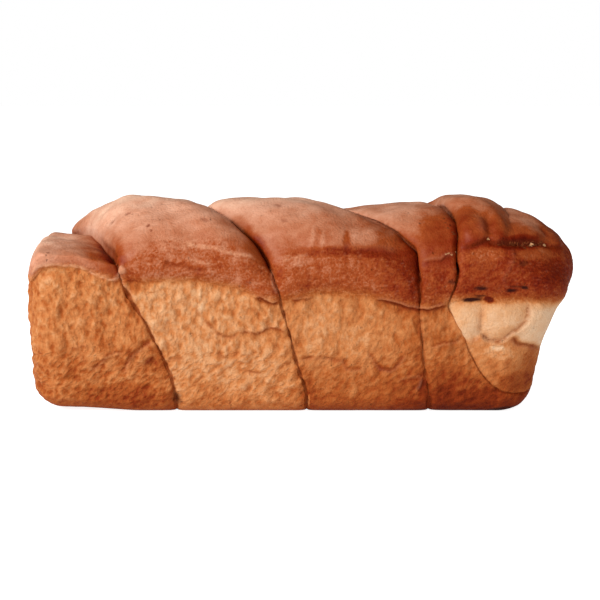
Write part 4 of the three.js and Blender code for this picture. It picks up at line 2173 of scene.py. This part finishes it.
# Lines of each kind from left to right: path, width, depth, tone, and how bright the painted
# highlight on the lit edge is
LINES = (
    *CrustLine.each(
        LineKind.CREASE,
        (((-127, 41.4), (-134, 40.2), (-140, 39)), 0.6, 0.25, 0.35),
        (((-134, 37), (-131, 34), (-129, 31)), 0.6, 0.25, 0.35),
        (((-88.6, 35), (-92.5, 31), (-96.3, 26)), 0.6, 0.3, 0.35),
        (((-83, 91.6), (-73, 91), (-63, 88.7), (-55.6, 88)), 0.9, 0.35, 0.4),
        (((-82, 34.6), (-77, 33.5), (-70, 34.7)), 0.6, 0.35, 0.45),
        (((-60, 59), (-55, 54.5), (-48, 48.4), (-43, 47), (-38, 49.6)), 0.7, 0.5, 0.5),
        (((-51, 38), (-47.4, 34.8), (-43.2, 33)), 0.6, 0.3, 0.4),
        (((-34, 26.7), (-29.5, 25.5), (-23.5, 25)), 0.6, 0.3, 0.45),
        (((-3, 33.4), (4.6, 34.8), (12.4, 34.2), (18.4, 33.5), (24.4, 33), (26.8, 28), (32.8, 27.4),
          (36.3, 28.6)),
         0.6, 0.35, 0.45),
        (((38.7, 39), (42.3, 34.2), (46.5, 28.7), (52.5, 26.8), (55.5, 28.6), (61.4, 37.3)),
         0.7, 0.4, 0.5),
        (((73.6, 21.7), (71.9, 16.2), (69.5, 12.4)), 0.9, 1.0, 0.8),
        (((107.0, 67), (106.2, 57.9), (105.6, 48.7)), 1.1, 1.1, 0.26),
        (((110.9, 119.5), (111.3, 113), (110.5, 105.9)), 2.6, 1.4, 0.30),
        (((115, 103.8), (123.4, 102.8), (129, 102.5), (136, 102.1), (142.4, 102.4)), 1.1, 0.6, 0.9, 0.0),
        (((122, 36), (122.5, 31), (122, 26.7)), 0.7, 0.25, 0.2),
        (((124.9, 48.6), (128.2, 43.6), (132.7, 42.6), (138, 41.2), (146, 37.6)), 0.9, 1.2, 0.8),
        (((143.0, 111.4), (146.4, 107.6), (148, 104.2)), 1.0, 0.8, 0.6),
    ),
    *CrustLine.each(
        LineKind.FOLD,
        (((-107, 38), (-113, 37), (-118, 34.7), (-121, 31), (-125.4, 28), (-128.3, 29.8)),
         0.7, 0.45, 0.5),
        (((-89, 45), (-93, 42.5), (-98, 39), (-102, 36), (-105, 31), (-107.5, 24)), 0.8, 0.6, 0.6),
        (((-62.5, 66.6), (-62, 61.8), (-59, 59.3)), 0.6, 0.35, 0.4),
        (((-38, 49.6), (-33, 50.8), (-29, 49.5), (-25, 50), (-21, 52.6), (-16, 52.6), (-9, 50)),
         0.7, 0.5, 0.7),
        (((-29, 71), (-25, 71.3), (-21, 69), (-17.4, 67.8), (-13.2, 69.5)), 0.9, 1.0, 0.8),
        (((-7.3, 70.3), (-4.3, 69.7), (-0.2, 70.9), (3.4, 70.3), (5.7, 72.8)), 0.8, 0.7, 0.6),
        (((14, 101.5), (30, 100), (44, 99.5), (56, 97)), 1.6, 0.5, 0.3),
        (((43, 70.4), (48, 69.8), (56, 68), (62, 66), (68, 64.7), (74.6, 64.3), (80, 65.5), (86.5, 66.9)),
         0.9, 1.1, 0.85),
        (((56.8, 18.7), (62.8, 21.2), (68.8, 21.8), (72.4, 21)), 0.7, 0.4, 0.45),
        (((70, 92.4), (73.6, 93), (77, 93.8), (81.3, 93.7), (85.5, 96), (90.4, 96.3)), 0.9, 0.7, 0.5),
        (((95.8, 46.5), (90, 44), (85, 44), (80.4, 42.2), (76.2, 41.6)), 0.7, 0.45, 0.5),
        (((94.1, 102.3), (98.3, 101.7), (105.4, 103.9), (109.9, 106.1), (111.7, 104.5), (115.7, 103.4),
          (123.4, 102.6), (128.9, 102.2), (135.5, 101.6), (142.4, 102.2), (148.2, 100), (156.9, 98.6)),
         0.9, 1.5, 0.9, 0.0),
        (((134.6, 68), (134.4, 62), (132.7, 57.8), (128, 52.7), (123.2, 48.6), (119.7, 45.5),
          (116.5, 44.3), (112, 44.6), (108.6, 46.6), (105.4, 50)),
         1.0, 1.9, 0.60),
    ),
    *CrustLine.each(
        LineKind.RIDGE,
        (((-161.7, 84), (-157, 89.5), (-149, 91), (-139, 91), (-132, 89.8), (-127, 87.6), (-121, 84.8),
          (-115, 82.7)),
         0.9, 0.35, 0.8),
        (((-118, 83.6), (-112.2, 81.9), (-108.2, 85.5), (-106.4, 89.4)), 1.1, 1.0, 1.0),
        (((-108, 86), (-105, 78), (-98, 68.5)), 0.8, 0.6, 0.6),
        (((-18.6, 88), (-17.4, 79), (-14, 73)), 0.8, 0.4, 0.6),
        (((98.5, 45.5), (102, 46.2), (105.7, 47.4)), 1.5, 0.9, 0.9),
        (((123.7, 100.8), (124.6, 95), (122.8, 90), (119.6, 84), (119.2, 78.4)), 1.2, 0.8, 0.10),
    ),
    *CrustLine.each(
        LineKind.SCUFF,
        (((-73.5, 103.5), (-63.4, 102.4), (-53, 101.3), (-44, 98.5), (-29, 96)), 1.1, 0, 0.75),
        (((-72, 96), (-64.5, 94), (-52.6, 91)), 0.8, 0, 0.5),
        (((-34, 80.5), (-28, 80.3), (-22, 79.5)), 0.8, 0, 0.45),
        (((-13, 92), (-5.5, 95), (4.5, 96.7)), 0.9, 0, 0.5),
        (((41, 81), (43, 78), (41.8, 74.8)), 0.6, 0, 0.5),
    ),
)

# Spots of each kind from left to right: place, size, slant, height and tone
SPOTS = (
    *CrustSpot.each(
        SpotKind.SWELL,
        ((97.5, 58), (7, 12), 12, 2.2),
        ((102, 110.5), (8.5, 8), -10, 3.2),
        ((116.4, 111), (5, 7.5), 0, 2.4),
        ((118.5, 58), (13, 11.5), -18, 3.3),
        ((120, 30), (15, 11), -25, 1.3),
        ((133, 107.5), (10, 6), -8, 1.8),
        ((139.5, 54), (8, 12), -30, 2.6),
        ((154, 102.5), (5.5, 5.5), 0, 1.0),
    ),
    *CrustSpot.each(
        SpotKind.BURN,
        ((-75.5, 9), (3.2, 5.0), 20, -0.2, 0.55),
        ((88.4, 80.9), (3.0, 1.6), -15, -0.2, 0.6),
        ((100.4, 70.2), (7.0, 1.5), 1, -0.2, 1.0),
        ((105.2, 72.3), (4.4, 0.7), 2, -0.1, 0.8),
        ((105.6, 77.3), (4.6, 1.4), 2, -0.2, 0.98),
        ((120, 1.6), (9, 2.0), 8, -0.2, 0.9),
        ((123.4, 75.9), (4.0, 1.1), 0, -0.2, 0.98),
        ((126.5, 78.0), (7.0, 0.55), 0, -0.1, 0.6),
        ((127, 103.0), (15, 1.3), -2, 0.0, 0.45),
        ((130.7, 91.8), (3.0, 1.9), 0, -0.2, 0.55),
        ((131.3, 77.6), (2.8, 1.2), 0, -0.2, 0.98),
    ),
    *CrustSpot.each(
        SpotKind.BLUSH,
        ((-108, 11), (32, 9), 0, 0, 0.16),
        # Painted shade at the lower left of the second turn, beside the first seam
        ((-99.7, 78.6), (7, 8), -20, 0, 0.16),
        ((14, 98.8), (26, 3.6), 2, -0.2, 0.11),
        ((26, 104), (2.4, 8.5), -4, -0.3, 0.20),
        ((46, 98), (20, 3.8), -4, -0.2, 0.12),
        ((100, 104.5), (9, 2.4), 12, 0.0, 0.04),
        ((110.8, 70.2), (3.4, 2.0), -25, 0, 0.5),
        # Painted shade on the low side of a fold in the pale crust
        ((120, 50), (9, 2.6), 38, 0.0, 0.05),
        ((128, 19), (12, 7), 0, 0.0, 0.14),
        ((129, 104.6), (10, 2.2), -3, 0.0, 0.14),
        ((138, 30), (7, 15), 0, 0.0, 0.14),
        ((146, 86), (16, 10), 0, 0.0, 0.10),
    ),
    *CrustSpot.each(
        SpotKind.PALE,
        # Painted light on the upper left of the first turn, where the light falls
        ((-156, 97), (14, 9), 30, 0, 0.06),
        ((-63, 74.5), (3.4, 2.6), 0, 0.4, 0.12),
        ((-61, 65.5), (4.2, 3.6), 0, 0.5, 0.13),
        ((-1, 92.5), (9, 2.6), 8, 0.2, 0.16),
        ((3.6, 7), (0.9, 5.0), -5, 0.5, 0.35),
        ((6, 107), (1.4, 7), -6, 0.2, 0.12),
        ((12, 106), (1.4, 6), -8, 0.2, 0.12),
        ((30.5, 14), (2.8, 6.5), -6, 0.6, 0.12),
        ((37, 107), (9, 6), -12, 0.3, 0.16),
        ((60, 116), (14, 9), -10, 0.0, 0.12),
        ((108, 97.2), (14, 5.6), 4, 0.2, 0.13),
        ((116.5, 41.0), (4.5, 2.2), 0, 0.0, 0.25),
        ((118, 38), (11, 5), -8, 0.0, 0.12),
        ((140, 96.8), (14, 4.6), -4, 0.2, 0.13),
        ((140, 111), (12, 4.0), -25, 0.0, 0.12),
    ),
    *CrustSpot.each(
        SpotKind.PORE,
        ((-156.3, 17.8), (1.0, 0.8), 0, -0.3, 0.8),
        ((-151.3, 30.6), (0.8, 0.8), 0, -0.3, 0.6),
        ((-150, 98.0), (0.6, 0.5), 0, -0.2, 0.8),
        ((-115.9, 112.8), (2.2, 0.8), 40, -0.3, 0.6),
        ((-105.7, 118.7), (2.2, 0.7), 20, -0.3, 0.7),
        ((-91.9, 113.3), (0.9, 0.9), 0, -0.4, 0.9),
        ((-89.9, 110.7), (0.8, 0.8), 0, -0.4, 0.8),
        ((-79.8, 93.3), (1.6, 1.0), 0, -0.3, 0.8),
        ((-77, 21), (0.8, 0.8), 0, -0.3, 0.8),
        ((-76.8, 92.1), (1.6, 0.9), -20, -0.3, 0.8),
        ((-58.1, 116.6), (3.0, 1.0), -15, -0.3, 0.5),
        ((-51.2, 15.5), (0.8, 0.8), 0, -0.3, 0.8),
        ((-43.5, 6.7), (1.0, 0.9), 0, -0.3, 0.9),
        ((-14.7, 123.4), (2.6, 0.8), -10, -0.3, 0.5),
        ((-10.9, 115.8), (2.6, 0.8), -12, -0.3, 0.5),
    ),
    *CrustSpot.each(
        SpotKind.KNOB,
        ((-106.3, 88), (2.4, 2.8), 30, 1.2, 0.7),
    ),
)

TEARS = (
    Tear(((117, 103), (131.6, 102), (142, 101.8)), 34, (0.9, 2.2), 0.8, (1.25, 1.6)),
    Tear(((110.4, 104.8), (110.8, 106.2)), 3, (1.3, 1.8), 0.25, (0.0, 0.15)),
    Tear(((134, 100.8), (138.5, 101.6)), 5, (1.2, 1.8), 0.3, (0.0, 0.15)),
    Tear(((144, 100.9), (146.5, 99.8)), 3, (0.9, 1.4), 0.25, (0.05, 0.25)),
    Tear(((78, 95), (86, 97), (92, 97.5)), 6, (0.6, 1.2), 0.7, (0.3, 0.6)),
    Tear(((85, 116), (89.5, 111), (92.5, 104)), 8, (0.8, 1.6), 0.7, (1.1, 1.4)),
)


def main() -> None:
    """Builds the loaf, its torn bits and the studio."""
    logging.basicConfig(level=logging.INFO, format="%(name)s: %(message)s")
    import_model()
    form = TwistedForm(SEAMS, TURNS, LEFT_END, RIGHT_END, FRONT_RIM, BACK_RIM, LUMPS)
    loaf = TwistedLoaf(form, LINES, SPOTS, BAND_TOP, PALE_EDGE).build()
    log.info("%s: %d faces", loaf.name, len(loaf.data.polygons))
    flakes = TornFlakes(TEARS).build(loaf)
    log.info("%s: %d faces", flakes.name, len(flakes.data.polygons))
    Studio().build()
    log.info("studio: floor, lights and camera")


if __name__ == "__main__":
    main()
